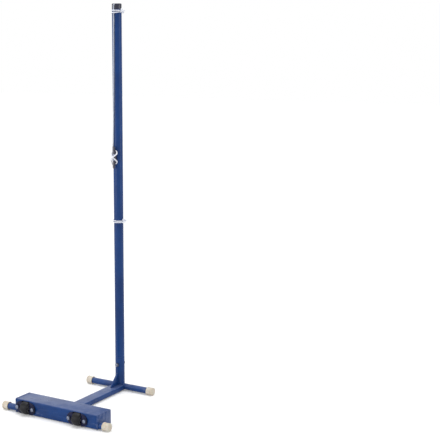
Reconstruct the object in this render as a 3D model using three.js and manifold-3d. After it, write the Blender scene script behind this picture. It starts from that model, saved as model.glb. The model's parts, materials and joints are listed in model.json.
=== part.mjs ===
// A free-standing badminton net post: a round steel upright in a T-shaped base, with a ballast box, two
// tilting wheels and the white cords that are made fast on it.
// Millimetres, +Z up. Inside the post's own group the origin is on the upright's axis at floor level,
// +X runs along the cross feet, and -Y runs along the stem to the ballast box.
// The whole post is then moved along Y, so that the origin is the bottom centre of its bounding box.

import * as THREE from 'three';
import { mergeVertices } from 'three/addons/utils/BufferGeometryUtils.js';
import Module from 'manifold-3d';

const wasm = await Module();
wasm.setup();

// Fits and cuts
const seat = 0.3;
const overrun = 5;

// Numbers of sides of round forms
const tubeSides = 32;
const wheelSides = 32;
const footCapSides = 24;
const smallSides = 20;
const filletSteps = 3;
const cordSides = 6;
const stepsPerTurn = 24;

// Upright and its end cap
const postHeight = 1550;
const uprightRadius = 19;
const uprightWall = 2;
const capHeight = 21;
const capEdgeRadius = 4;
const capPlugLength = 24;
const capPlugWall = 3;

// Socket on the base, spigot in the upright, and the bolt through both
const socketTop = 140;
const spigotWall = 2.5;
const spigotBottom = 62;
const spigotTop = 205;
const socketBoltHeight = 108;
const threadRunout = 2.5;

// M8 fasteners
const boltRadius = 4;
const boltAcrossFlats = 13;
const boltHeadHeight = 5.3;
const nutHeight = 6.5;
const washerRadius = 8;
const washerThickness = 1.6;

// Cross feet and their end caps
const footTubeRadius = 12.5;
const footTubeWall = 2;
const footCapRadius = 16;
const footCapLength = 26;
const footCapEnd = 4;
const footCapLip = 0.8;
const footCapLipLength = 3;
const footCapEdgeRadius = 3;
const frontFootHalf = 160;
const rearFootHalf = 248;

// Stem and gusset
const stemWidth = 50;
const stemHeight = 20;
const stemWall = 2;
const stemCornerRadius = 3;
const gussetThickness = 6;
const gussetHeight = 48;
const gussetLength = 46;
const gussetToe = 5;

// Ballast box
const leftFootStub = 68;
const rightFootStub = 44;
const boxReach = 446;
const boxWidth = 86;
const rearFootInset = 15;
const boxBottom = 4;
const boxHeight = 54;
const boxWall = 2;
const boxEdgeRadius = 4;
const endPlateThickness = 4;
const boxFloorThickness = 2;
const ballastBarCount = 3;

// Wheels and their brackets
const wheelRadius = 26;
const wheelWidth = 34;
const treadCrown = 2.5;
const tyreThickness = 8;
const hubWebThickness = 5;
const hubRimWall = 3;
const hubBossRadius = 8;
const wheelAxleHeight = 28;
const wheelAxleInset = 5;
const leftWheelInset = 50;
const rightWheelInset = 91;
const wheelSideGap = 1.25;
const wheelRunningGap = 1.5;
const axleRadius = 3;
const axleHeadRadius = 5;
const axleHeadThickness = 2;
const clipRadius = 5;
const clipThickness = 1.2;
const bracketSheet = 2.5;
const bracketHalfHeight = 24;
const bracketHalfLength = 46;
const earBoltOffset = 36;

// Cord cleat
const cleatHeight = 955;
const cleatLength = 90;
const cleatStandOff = 15;
const cleatBaseLength = 40;
const cleatWidth = 13;
const cleatTipWidth = 8;
const cleatTipThickness = 5;
const cleatHornRoot = 9;
const cleatNoseDepth = 7;
const cleatScrewSpacing = 20;
const cleatScrewRadius = 2;
const cleatScrewHeadRadius = 4;
const cleatScrewHeadHeight = 2.5;
const cleatScrewLength = 20;

// Cords
const tensionCordRadius = 2.5;
const tieCordRadius = 2;
const topTieDrop = 9;
const lowerTieHeight = 697;
const tieTurns = 2;
const topTieSpread = 6.5;
const lowerTieSpread = 2.5;
const knotAngle = 15;
const cordGap = 0.4;
const tieStrandGap = 0.6;
const looseEndDrop = 28;

// Sizes worked out from those above
const uprightBore = uprightRadius - uprightWall;
const spigotRadius = uprightBore - seat;
const capBottom = postHeight - capHeight;
const topTieHeight = capBottom - topTieDrop;
const capCordHeight = postHeight - tensionCordRadius - cordGap;
const footAxisHeight = footCapRadius;
const stemBottom = footAxisHeight - footTubeRadius;
const stemTop = stemBottom + stemHeight;
const boxLeft = leftFootStub - rearFootHalf;
const boxRight = rearFootHalf - rightFootStub;
const boxNear = -boxReach;
const boxFar = boxNear + boxWidth;
const boxTop = boxBottom + boxHeight;
const rearFootY = boxNear + rearFootInset;
const boxInnerLeft = boxLeft + endPlateThickness + seat;
const boxInnerRight = boxRight - endPlateThickness - seat;
const hubRadius = wheelRadius - tyreThickness;
const cheekInner = wheelWidth / 2 + wheelSideGap;
const cheekOuter = cheekInner + bracketSheet;
const bracketWeb = wheelRadius + wheelRunningGap;
const leftWheelX = boxLeft + leftWheelInset;
const rightWheelX = boxRight - rightWheelInset;
const wheelAxleY = boxNear + wheelAxleInset;
const stemEnd = wheelAxleY + bracketWeb + bracketSheet + seat;
const socketBoltEnd = uprightRadius + washerThickness + nutHeight + 3 * seat + threadRunout;
const cleatBack = uprightRadius + seat;
const cleatFront = uprightRadius + cleatStandOff;
const wheelReach = wheelAxleY - wheelRadius;
const postCentreY = (wheelReach + socketBoltEnd) / 2;

// Materials
function finish(color, roughness, metalness) {
  return new THREE.MeshStandardMaterial({ color, roughness, metalness });
}
const bluePaint = finish(0x24406e, 0.4, 0.3);
const darkPaint = finish(0x161d3a, 0.45, 0.3);
const blackPlastic = finish(0x2a2a35, 0.5, 0);
const creamPlastic = finish(0xd5cbb9, 0.6, 0);
const blackRubber = finish(0x353436, 0.8, 0);
const greyNylon = finish(0x4a4a50, 0.6, 0);
const zincSteel = finish(0xb0b8d0, 0.35, 0.8);
const rawSteel = finish(0x6c6a68, 0.6, 0.7);
const whiteCord = finish(0xdde5f5, 0.9, 0);

// Joining and cutting

function toSolid(geometry) {
  const plain = geometry.clone();
  plain.deleteAttribute('normal');
  plain.deleteAttribute('uv');
  const merged = mergeVertices(plain);
  return new wasm.Manifold(
    new wasm.Mesh({
      numProp: 3,
      vertProperties: new Float32Array(merged.attributes.position.array),
      triVerts: new Uint32Array(merged.index.array),
    }),
  );
}

function toGeometry(solid) {
  const mesh = solid.getMesh();
  const geometry = new THREE.BufferGeometry();
  geometry.setAttribute('position', new THREE.BufferAttribute(mesh.vertProperties, 3));
  geometry.setIndex(new THREE.BufferAttribute(mesh.triVerts, 1));
  return geometry;
}

function cut(geometry, ...cutters) {
  return toGeometry(cutters.reduce((solid, cutter) => solid.subtract(toSolid(cutter)), toSolid(geometry)));
}

function join(geometry, ...others) {
  return toGeometry(others.reduce((solid, other) => solid.add(toSolid(other)), toSolid(geometry)));
}

function common(geometry, other) {
  return toGeometry(toSolid(geometry).intersect(toSolid(other)));
}

// Basic forms. Each is made along +Z from z = 0 unless its name says otherwise.

function turned(points, sides) {
  const profile = points.map(([radius, height]) => new THREE.Vector2(radius, height));
  return new THREE.LatheGeometry(profile, sides).rotateX(Math.PI / 2);
}

function rod(radius, length, sides = tubeSides) {
  const corners = [
    [0, 0],
    [radius, 0],
    [radius, length],
    [0, length],
  ];
  return turned(corners, sides);
}

function pipe(outer, inner, length, sides = tubeSides) {
  const corners = [
    [inner, 0],
    [outer, 0],
    [outer, length],
    [inner, length],
    [inner, 0],
  ];
  return turned(corners, sides);
}

function extruded(shape, depth, curveSegments = smallSides / 2) {
  return new THREE.ExtrudeGeometry(shape, { depth, bevelEnabled: false, curveSegments });
}

function block(lowX, highX, lowY, highY, lowZ, highZ) {
  return new THREE.BoxGeometry(highX - lowX, highY - lowY, highZ - lowZ).translate(
    (lowX + highX) / 2,
    (lowY + highY) / 2,
    (lowZ + highZ) / 2,
  );
}

function rectangle(width, height, radius) {
  const shape = new THREE.Shape();
  const x = width / 2 - radius;
  const y = height / 2 - radius;
  shape.absarc(x, y, radius, 0, Math.PI / 2);
  shape.absarc(-x, y, radius, Math.PI / 2, Math.PI);
  shape.absarc(-x, -y, radius, Math.PI, 1.5 * Math.PI);
  shape.absarc(x, -y, radius, 1.5 * Math.PI, 2 * Math.PI);
  return shape;
}

// Points of a quarter circle in a turned profile, from one angle to another, in degrees
function arcPoints(centreRadius, centreHeight, radius, from, to) {
  const points = [];
  for (let step = 0; step <= filletSteps; step++) {
    const angle = THREE.MathUtils.degToRad(from + ((to - from) * step) / filletSteps);
    points.push([centreRadius + radius * Math.cos(angle), centreHeight + radius * Math.sin(angle)]);
  }
  return points;
}

function hexPrism(acrossFlats, height) {
  const corner = acrossFlats / 2 / Math.cos(Math.PI / 6);
  return new THREE.CylinderGeometry(corner, corner, height, 6).rotateX(Math.PI / 2).translate(0, 0, height / 2);
}

// A hexagon bolt with its head's underside at z = 0, its shank along +Z and its head along -Z
function hexBolt(shankLength) {
  const head = hexPrism(boltAcrossFlats, boltHeadHeight).translate(0, 0, -boltHeadHeight);
  return join(head, rod(boltRadius, shankLength, smallSides));
}

function hexNut() {
  const bore = rod(boltRadius + seat, nutHeight + 2 * overrun, smallSides).translate(0, 0, -overrun);
  return cut(hexPrism(boltAcrossFlats, nutHeight), bore);
}

function washer() {
  return pipe(washerRadius, boltRadius + seat, washerThickness, smallSides);
}

// A tube that follows a route of points, stepped evenly from point to point, so that close points get
// short steps and a straight run between two far points gets long ones
class CordRoute extends THREE.CatmullRomCurve3 {
  getUtoTmapping(u) {
    return u;
  }
}

function cordTube(route, radius, steps) {
  const section = new THREE.Shape();
  for (let side = 0; side < cordSides; side++) {
    const angle = (2 * Math.PI * side) / cordSides;
    const corner = [radius * Math.cos(angle), radius * Math.sin(angle)];
    if (side === 0) section.moveTo(...corner);
    else section.lineTo(...corner);
  }
  return new THREE.ExtrudeGeometry(section, { steps, extrudePath: route, bevelEnabled: false });
}

// The least gap between two stretches of a cord that are not next to each other along it
function leastGap(route, radius, samples) {
  const points = [];
  for (let sample = 0; sample <= samples; sample++) points.push(route.getPoint(sample / samples));
  const along = [0];
  for (let index = 1; index < points.length; index++) {
    along.push(along[index - 1] + points[index].distanceTo(points[index - 1]));
  }
  let least = Infinity;
  for (let first = 0; first < points.length; first++) {
    for (let second = first + 1; second < points.length; second++) {
      if (along[second] - along[first] > 4 * radius) {
        least = Math.min(least, points[first].distanceTo(points[second]) - 2 * radius);
      }
    }
  }
  return least;
}

// Building the scene graph

const model = new THREE.Group();
const post = new THREE.Group();
post.position.y = -postCentreY;
model.add(post);

function add(name, geometry, material, position = [0, 0, 0], rotation = [0, 0, 0], parent = post) {
  const mesh = new THREE.Mesh(geometry, material);
  mesh.name = name;
  mesh.position.set(...position);
  mesh.rotation.set(...rotation);
  parent.add(mesh);
  return mesh;
}

const alongMinusY = [Math.PI / 2, 0, 0];
const alongY = [-Math.PI / 2, 0, 0];
const alongX = [0, Math.PI / 2, 0];
const alongMinusX = [0, -Math.PI / 2, 0];

// Upright

function addUpright() {
  const length = capBottom - socketTop - 2 * seat;
  const bottom = socketTop + seat;
  const holes = [-1, 1].map((side) =>
    rod(cleatScrewRadius + seat, 2 * uprightRadius, smallSides)
      .rotateX(Math.PI / 2)
      .translate(0, 0, cleatHeight + (side * cleatScrewSpacing) / 2 - bottom),
  );
  add('upright_tube', cut(pipe(uprightRadius, uprightBore, length), ...holes), bluePaint, [0, 0, bottom]);
}

function addSpigot() {
  const length = spigotTop - spigotBottom;
  const crossHole = rod(boltRadius + seat, 2 * uprightRadius, smallSides)
    .rotateX(Math.PI / 2)
    .translate(0, uprightRadius, socketBoltHeight - spigotBottom);
  const tube = pipe(spigotRadius, spigotRadius - spigotWall, length);
  add('upright_spigot', cut(tube, crossHole), rawSteel, [0, 0, spigotBottom]);
}

// The cap closes the upright and carries the cord in a groove over its top.
function addTopCap() {
  const plugRadius = uprightBore - seat;
  const edge = arcPoints(uprightRadius - capEdgeRadius, capHeight - capEdgeRadius, capEdgeRadius, 0, 90);
  const profile = [
    [0, 0],
    [plugRadius - capPlugWall, 0],
    [plugRadius - capPlugWall, -capPlugLength],
    [plugRadius, -capPlugLength],
    [plugRadius, 0],
    [uprightRadius, 0],
    ...edge,
    [0, capHeight],
  ];
  const grooveHalf = tensionCordRadius + seat;
  const bottom = cordTube(capRoute(), grooveHalf / Math.cos(Math.PI / cordSides), 2 * stepsPerTurn);
  const mouth = block(-grooveHalf, grooveHalf, -uprightRadius, uprightRadius, capCordHeight, postHeight + overrun);
  const groove = join(bottom, mouth).translate(0, 0, -capBottom);
  add('top_cap', cut(turned(profile, tubeSides), groove), blackPlastic, [0, 0, capBottom]);
}

// Base: socket, gusset, stem and the front cross foot

function addSocket() {
  const length = socketTop - footAxisHeight;
  const footSaddle = rod(footTubeRadius + seat, 4 * uprightRadius)
    .rotateY(Math.PI / 2)
    .translate(-2 * uprightRadius, 0, 0);
  const stemNotch = block(
    -stemWidth / 2 - seat,
    stemWidth / 2 + seat,
    -2 * uprightRadius,
    0,
    -overrun,
    stemTop - footAxisHeight + seat,
  );
  const crossHole = rod(boltRadius + seat, 4 * uprightRadius, smallSides)
    .rotateX(Math.PI / 2)
    .translate(0, 2 * uprightRadius, socketBoltHeight - footAxisHeight);
  const tube = pipe(uprightRadius, uprightBore, length);
  add('base_socket', cut(tube, footSaddle, stemNotch, crossHole), bluePaint, [0, 0, footAxisHeight]);
}

function addSocketBolt() {
  const headSeat = -uprightRadius - washerThickness - 2 * seat;
  const height = socketBoltHeight;
  add('socket_bolt', hexBolt(socketBoltEnd - headSeat), zincSteel, [0, headSeat, height], alongY);
  add('socket_bolt_washer', washer(), zincSteel, [0, headSeat + seat, height], alongY);
  const nutSeat = socketBoltEnd - threadRunout - nutHeight;
  add('socket_nut_washer', washer(), zincSteel, [0, nutSeat - seat - washerThickness, height], alongY);
  add('socket_bolt_nut', hexNut(), zincSteel, [0, nutSeat, height], alongY);
}

function addGusset() {
  const shape = new THREE.Shape();
  shape.moveTo(0, 0);
  shape.lineTo(gussetLength, 0);
  shape.lineTo(gussetLength, gussetToe);
  shape.lineTo(gussetToe, gussetHeight);
  shape.lineTo(0, gussetHeight);
  const plate = extruded(shape, gussetThickness).translate(0, 0, -gussetThickness / 2);
  const turn = [Math.PI / 2, 0, -Math.PI / 2, 'ZXY'];
  add('gusset', plate, bluePaint, [0, -uprightRadius - seat, stemTop + seat], turn);
}

function addStem() {
  const outline = rectangle(stemWidth, stemHeight, stemCornerRadius);
  outline.holes.push(rectangle(stemWidth - 2 * stemWall, stemHeight - 2 * stemWall, stemCornerRadius - stemWall));
  const tube = extruded(outline, -stemEnd, filletSteps).rotateX(Math.PI / 2);
  const middle = stemBottom + stemHeight / 2;
  const footSaddle = rod(footTubeRadius + seat, 2 * stemWidth)
    .rotateY(Math.PI / 2)
    .translate(-stemWidth, 0, footAxisHeight - middle);
  const frontTrim = block(-stemWidth, stemWidth, -footTubeRadius / 2, overrun, -stemHeight, stemHeight);
  add('stem', cut(tube, footSaddle, frontTrim), bluePaint, [0, 0, middle]);
}

function addFrontFoot() {
  const half = frontFootHalf - footCapEnd - seat;
  const tube = pipe(footTubeRadius, footTubeRadius - footTubeWall, 2 * half);
  add('front_foot_tube', tube, bluePaint, [-half, 0, footAxisHeight], alongX);
}

// Rear cross foot: a stub in each end plate of the ballast box

function addRearFoot(name, side, endPlateInside) {
  const outside = rearFootHalf - footCapEnd - seat;
  const length = outside - Math.abs(endPlateInside) + seat;
  const tube = pipe(footTubeRadius, footTubeRadius - footTubeWall, length);
  const start = [side * outside, rearFootY, footAxisHeight];
  add(name, tube, bluePaint, start, side > 0 ? alongMinusX : alongX);
}

// A soft cap with its mouth at z = 0 and its closed end at z = its length
function footCapGeometry() {
  const bore = footTubeRadius + seat;
  const depth = footCapLength - footCapEnd;
  const body = footCapRadius - footCapLip;
  const profile = [
    [0, depth],
    [bore, depth],
    [bore, 0],
    [footCapRadius, 0],
    [footCapRadius, footCapLipLength],
    [body, footCapLipLength + footCapLip],
    [body, depth - footCapLip],
    [footCapRadius, depth],
    ...arcPoints(footCapRadius - footCapEdgeRadius, footCapLength - footCapEdgeRadius, footCapEdgeRadius, 0, 90),
    [0, footCapLength],
  ];
  return turned(profile, footCapSides);
}

function addFootCaps() {
  const rows = [
    ['front_foot_cap', frontFootHalf, 0],
    ['rear_foot_cap', rearFootHalf, rearFootY],
  ];
  for (const [name, half, y] of rows) {
    const mouth = half - footCapLength;
    add(`${name}_left`, footCapGeometry(), creamPlastic, [-mouth, y, footAxisHeight], alongMinusX);
    add(`${name}_right`, footCapGeometry(), creamPlastic, [mouth, y, footAxisHeight], alongX);
  }
}

// Ballast box

// The folded cover's section: an upside-down channel with rounded folds
function coverSection() {
  const half = boxWidth / 2;
  const inner = boxEdgeRadius - boxWall;
  const shape = new THREE.Shape();
  shape.moveTo(-half, 0);
  shape.absarc(-half + boxEdgeRadius, boxHeight - boxEdgeRadius, boxEdgeRadius, Math.PI, Math.PI / 2, true);
  shape.absarc(half - boxEdgeRadius, boxHeight - boxEdgeRadius, boxEdgeRadius, Math.PI / 2, 0, true);
  shape.lineTo(half, 0);
  shape.lineTo(half - boxWall, 0);
  shape.absarc(half - boxEdgeRadius, boxHeight - boxEdgeRadius, inner, 0, Math.PI / 2);
  shape.absarc(-half + boxEdgeRadius, boxHeight - boxEdgeRadius, inner, Math.PI / 2, Math.PI);
  shape.lineTo(-half + boxWall, 0);
  return shape;
}

// The end plates' outline: the cover's outside, closed at the bottom
function endPlateOutline() {
  const half = boxWidth / 2;
  const shape = new THREE.Shape();
  shape.moveTo(-half, 0);
  shape.lineTo(half, 0);
  shape.absarc(half - boxEdgeRadius, boxHeight - boxEdgeRadius, boxEdgeRadius, 0, Math.PI / 2);
  shape.absarc(-half + boxEdgeRadius, boxHeight - boxEdgeRadius, boxEdgeRadius, Math.PI / 2, Math.PI);
  return shape;
}

// Turns an outline drawn in Y and Z, extruded along Z, so that it is extruded along X
function standAlongX(geometry) {
  return geometry.rotateX(Math.PI / 2).rotateZ(Math.PI / 2);
}

function addBoxCover() {
  const section = standAlongX(extruded(coverSection(), boxInnerRight - boxInnerLeft, filletSteps));
  const cover = section.translate(boxInnerLeft, boxNear + boxWidth / 2, boxBottom);
  const inside = boxNear + boxWall + boxEdgeRadius / 2;
  const openings = [
    [cheekOuter + axleHeadThickness + 2 * seat, clipRadius + seat],
    [cheekOuter + seat, bracketHalfHeight + seat],
    [cheekInner, wheelRadius + seat],
  ];
  const cutters = [];
  for (const x of [leftWheelX, rightWheelX]) {
    for (const [half, rise] of openings) {
      const top = wheelAxleHeight + rise;
      cutters.push(block(x - half, x + half, boxNear - overrun, inside, boxBottom - overrun, top));
    }
    for (const side of [-1, 1]) {
      const hole = rod(boltRadius + seat, boxWall + 2 * overrun, smallSides).rotateX(-Math.PI / 2);
      cutters.push(hole.translate(x + side * earBoltOffset, boxNear - overrun, wheelAxleHeight));
    }
  }
  const stemHalf = stemWidth / 2 + seat;
  cutters.push(
    block(-stemHalf, stemHalf, boxFar - overrun, boxFar + overrun, boxBottom - overrun, stemTop + seat),
  );
  add('weight_box_cover', cut(cover, ...cutters), bluePaint);
}

function addBoxEnds() {
  const footHole = rod(footTubeRadius + seat, endPlateThickness + 2 * overrun)
    .rotateY(Math.PI / 2)
    .translate(-overrun, rearFootInset - boxWidth / 2, footAxisHeight - boxBottom);
  const plate = cut(standAlongX(extruded(endPlateOutline(), endPlateThickness, filletSteps)), footHole);
  const y = boxNear + boxWidth / 2;
  add('weight_box_end_left', plate, bluePaint, [boxLeft, y, boxBottom]);
  add('weight_box_end_right', plate.clone(), bluePaint, [boxRight - endPlateThickness, y, boxBottom]);
}

function addBoxFloor() {
  const near = boxNear + boxWall + seat;
  const far = boxFar - boxWall - seat;
  const plate = block(boxInnerLeft, boxInnerRight, near, far, 0, boxFloorThickness);
  const stemHalf = stemWidth / 2 + seat;
  const cutters = [block(-stemHalf, stemHalf, stemEnd - seat, far + overrun, -overrun, overrun)];
  const pocketHalf = cheekOuter + seat;
  const pocketBack = wheelAxleY + bracketWeb + bracketSheet + seat;
  for (const x of [leftWheelX, rightWheelX]) {
    cutters.push(block(x - pocketHalf, x + pocketHalf, near - overrun, pocketBack, -overrun, overrun));
  }
  add('weight_box_floor', cut(plate, ...cutters), bluePaint, [0, 0, boxBottom]);
}

// Ballast: long bars over the stem, a short block on each side of it and one between the wheels
function addBallast() {
  const near = stemEnd + seat;
  const far = boxFar - boxEdgeRadius;
  const left = boxInnerLeft + seat;
  const right = boxInnerRight - seat;
  const floor = boxBottom + boxFloorThickness + seat;
  const barsBottom = stemTop + seat;
  const barsTop = boxTop - boxWall - seat;
  const barStep = (barsTop - barsBottom + seat) / ballastBarCount;
  for (let index = 0; index < ballastBarCount; index++) {
    const bottom = barsBottom + index * barStep;
    const bar = block(left, right, near, far, 0, barStep - seat);
    add(`ballast_bar_${index + 1}`, bar, rawSteel, [0, 0, bottom]);
  }
  const stemSide = stemWidth / 2 + seat;
  const blockHeight = barsBottom - seat - floor;
  add('ballast_block_left', block(left, -stemSide, near, far, 0, blockHeight), rawSteel, [0, 0, floor]);
  add('ballast_block_right', block(stemSide, right, near, far, 0, blockHeight), rawSteel, [0, 0, floor]);
  const clear = earBoltOffset + washerRadius + seat;
  const middle = block(
    leftWheelX + clear,
    rightWheelX - clear,
    boxNear + boxEdgeRadius,
    stemEnd - seat,
    0,
    barsTop - floor,
  );
  add('ballast_block_middle', middle, rawSteel, [0, 0, floor]);
}

// Wheels. Each is made round its own axle, which runs along X.

// The tread is crowned: its radius falls from the middle to the shoulders along a shallow arc.
function tyreGeometry() {
  const half = wheelWidth / 2;
  const bore = hubRadius + seat;
  const treadHalf = half - treadCrown;
  const profile = [
    [bore, -half],
    [wheelRadius - 2 * treadCrown, -half],
  ];
  const crownSteps = 8;
  for (let step = 0; step <= crownSteps; step++) {
    const share = (2 * step) / crownSteps - 1;
    profile.push([wheelRadius - treadCrown * share * share, share * treadHalf]);
  }
  profile.push([wheelRadius - 2 * treadCrown, half], [bore, half], [bore, -half]);
  return turned(profile, wheelSides);
}

function hubGeometry() {
  const half = wheelWidth / 2;
  const bore = axleRadius + seat;
  const rim = hubRadius - hubRimWall;
  const web = hubWebThickness / 2;
  const boss = cheekInner - seat;
  const profile = [
    [bore, -boss],
    [hubBossRadius, -boss],
    [hubBossRadius, -web],
    [rim, -web],
    [rim, -half],
    [hubRadius, -half],
    [hubRadius, half],
    [rim, half],
    [rim, web],
    [hubBossRadius, web],
    [hubBossRadius, boss],
    [bore, boss],
    [bore, -boss],
  ];
  return turned(profile, wheelSides);
}

// One rounded ear of the bracket, drawn in X and Z round the axle, on the +X side
function earOutline() {
  const roundStart = bracketHalfLength - bracketHalfHeight;
  const shape = new THREE.Shape();
  shape.moveTo(cheekInner, -bracketHalfHeight);
  shape.absarc(roundStart, 0, bracketHalfHeight, -Math.PI / 2, Math.PI / 2);
  shape.lineTo(cheekInner, bracketHalfHeight);
  return shape;
}

// The bracket is folded from one sheet: two ears on the box's face, two cheeks into the box, and a web
// behind the wheel. It is made round the wheel's axle, with the box's near face at y = -wheelAxleInset.
function bracketGeometry() {
  const earBack = -wheelAxleInset - seat;
  const earFront = earBack - bracketSheet;
  const webBack = bracketWeb + bracketSheet;
  const half = bracketHalfHeight;
  const ear = extruded(earOutline(), bracketSheet).rotateX(Math.PI / 2).translate(0, earBack, 0);
  const otherEar = ear.clone().rotateY(Math.PI);
  const body = join(
    block(-cheekOuter, cheekOuter, bracketWeb, webBack, -half, half),
    block(cheekInner, cheekOuter, earFront, webBack, -half, half),
    block(-cheekOuter, -cheekInner, earFront, webBack, -half, half),
    ear,
    otherEar,
  );
  const axleHole = rod(axleRadius + seat, 4 * cheekOuter, smallSides)
    .rotateY(Math.PI / 2)
    .translate(-2 * cheekOuter, 0, 0);
  const boltHoles = [-1, 1].map((side) =>
    rod(boltRadius + seat, bracketSheet + 2 * overrun, smallSides)
      .rotateX(-Math.PI / 2)
      .translate(side * earBoltOffset, earFront - overrun, 0),
  );
  return cut(body, axleHole, ...boltHoles);
}

function addWheelUnit(side, x) {
  const unit = new THREE.Group();
  unit.position.set(x, wheelAxleY, wheelAxleHeight);
  post.add(unit);
  const origin = [0, 0, 0];
  add(`wheel_bracket_${side}`, bracketGeometry(), darkPaint, origin, origin, unit);
  add(`wheel_tyre_${side}`, tyreGeometry(), blackRubber, origin, alongX, unit);
  add(`wheel_hub_${side}`, hubGeometry(), greyNylon, origin, alongX, unit);
  const headSeat = cheekOuter + seat;
  const axleLength = 2 * headSeat + clipThickness + 2 * seat;
  const axleHead = rod(axleHeadRadius, axleHeadThickness, smallSides).translate(0, 0, -axleHeadThickness);
  const axle = join(axleHead, rod(axleRadius, axleLength, smallSides));
  add(`wheel_axle_${side}`, axle, zincSteel, [headSeat, 0, 0], alongMinusX, unit);
  const clip = pipe(clipRadius, axleRadius + seat, clipThickness, smallSides);
  add(`wheel_axle_clip_${side}`, clip, zincSteel, [-headSeat, 0, 0], alongMinusX, unit);
  const washerSeat = -wheelAxleInset - bracketSheet - 2 * seat - washerThickness;
  const nutSeat = -wheelAxleInset + boxWall + seat;
  const boltLength = nutSeat + nutHeight + threadRunout - washerSeat + seat;
  for (const [place, at] of [['left', -earBoltOffset], ['right', earBoltOffset]]) {
    const label = `${side}_${place}`;
    add(`bracket_bolt_${label}`, hexBolt(boltLength), zincSteel, [at, washerSeat - seat, 0], alongY, unit);
    add(`bracket_washer_${label}`, washer(), zincSteel, [at, washerSeat, 0], alongY, unit);
    add(`bracket_nut_${label}`, hexNut(), zincSteel, [at, nutSeat, 0], alongY, unit);
  }
}

// Cord cleat: the side outline and the front outline are crossed, and the back is hollowed to fit the tube.

function cleatSideOutline() {
  const half = cleatLength / 2;
  const baseHalf = cleatBaseLength / 2;
  const under = cleatFront - cleatHornRoot;
  const tipTop = cleatFront - cleatTipThickness / 5;
  const shape = new THREE.Shape();
  shape.moveTo(uprightRadius / 2, -baseHalf);
  shape.lineTo(under - cleatTipThickness, -baseHalf);
  shape.quadraticCurveTo(under, -baseHalf, under + cleatTipThickness / 5, -baseHalf - cleatTipThickness);
  shape.lineTo(tipTop - cleatTipThickness, -half + cleatTipThickness / 2);
  shape.quadraticCurveTo(tipTop - cleatTipThickness / 2, -half, tipTop, -half + cleatTipThickness / 2);
  shape.quadraticCurveTo(cleatFront, -baseHalf, cleatFront - cleatTipThickness / 5, 0);
  shape.quadraticCurveTo(cleatFront, baseHalf, tipTop, half - cleatTipThickness / 2);
  shape.quadraticCurveTo(tipTop - cleatTipThickness / 2, half, tipTop - cleatTipThickness, half - cleatTipThickness / 2);
  shape.lineTo(under + cleatTipThickness / 5, baseHalf + cleatTipThickness);
  shape.quadraticCurveTo(under, baseHalf, under - cleatTipThickness, baseHalf);
  shape.lineTo(uprightRadius / 2, baseHalf);
  return shape;
}

function cleatFrontOutline() {
  const half = cleatLength / 2;
  const tip = cleatTipWidth / 2;
  const middle = cleatWidth / 2;
  const shape = new THREE.Shape();
  shape.moveTo(-middle, 0);
  shape.quadraticCurveTo(-middle, -half / 2, -tip, -half + tip);
  shape.quadraticCurveTo(-tip, -half, 0, -half);
  shape.quadraticCurveTo(tip, -half, tip, -half + tip);
  shape.quadraticCurveTo(middle, -half / 2, middle, 0);
  shape.quadraticCurveTo(middle, half / 2, tip, half - tip);
  shape.quadraticCurveTo(tip, half, 0, half);
  shape.quadraticCurveTo(-tip, half, -tip, half - tip);
  shape.quadraticCurveTo(-middle, half / 2, -middle, 0);
  return shape;
}

// The cleat seen from above: straight sides and a rounded front, towards -Y
function cleatPlanOutline() {
  const middle = cleatWidth / 2;
  const shape = new THREE.Shape();
  shape.moveTo(middle, 0);
  shape.lineTo(-middle, 0);
  shape.lineTo(-middle, -cleatFront + cleatNoseDepth);
  shape.absellipse(0, -cleatFront + cleatNoseDepth, middle, cleatNoseDepth, Math.PI, 2 * Math.PI);
  return shape;
}

function addCleat() {
  const curveSteps = 6;
  const side = standAlongX(extruded(cleatSideOutline(), 2 * cleatWidth, curveSteps)).translate(-cleatWidth, 0, 0);
  const sideFacingBox = side.rotateZ(Math.PI);
  const front = extruded(cleatFrontOutline(), 4 * cleatFront, curveSteps)
    .rotateX(Math.PI / 2)
    .translate(0, overrun, 0);
  const plan = extruded(cleatPlanOutline(), 2 * cleatLength, curveSteps).translate(0, 0, -cleatLength);
  const tube = rod(cleatBack, 2 * cleatLength).translate(0, 0, -cleatLength);
  const cutters = [tube];
  for (const end of [-1, 1]) {
    const z = (end * cleatScrewSpacing) / 2;
    const shankHole = rod(cleatScrewRadius + seat, 2 * cleatFront, smallSides).rotateX(Math.PI / 2);
    const headHole = rod(cleatScrewHeadRadius + seat, cleatFront, smallSides).rotateX(Math.PI / 2);
    cutters.push(shankHole.translate(0, 0, z));
    cutters.push(headHole.translate(0, -cleatFront + 2 * cleatScrewHeadHeight, z));
  }
  const body = common(common(sideFacingBox, front), plan);
  add('cord_cleat', cut(body, ...cutters), blackPlastic, [0, 0, cleatHeight]);
}

// Pan-head screws with a cross slot, from the cleat's face into the tube's wall
function addCleatScrews() {
  const slotWidth = cleatScrewRadius / 2;
  const slotHalf = cleatScrewHeadRadius - slotWidth;
  const slotDepth = cleatScrewHeadHeight / 2;
  const head = rod(cleatScrewHeadRadius, cleatScrewHeadHeight, smallSides).translate(0, 0, -cleatScrewHeadHeight);
  const screw = cut(
    join(head, rod(cleatScrewRadius, cleatScrewLength, smallSides)),
    block(-slotHalf, slotHalf, -slotWidth / 2, slotWidth / 2, -2 * cleatScrewHeadHeight, -slotDepth),
    block(-slotWidth / 2, slotWidth / 2, -slotHalf, slotHalf, -2 * cleatScrewHeadHeight, -slotDepth),
  );
  const seatY = -cleatFront + 2 * cleatScrewHeadHeight - seat;
  for (const [name, end] of [['cleat_screw_lower', -1], ['cleat_screw_upper', 1]]) {
    const z = cleatHeight + (end * cleatScrewSpacing) / 2;
    add(name, screw.clone(), zincSteel, [0, seatY, z], alongY);
  }
}

// Cords

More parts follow.
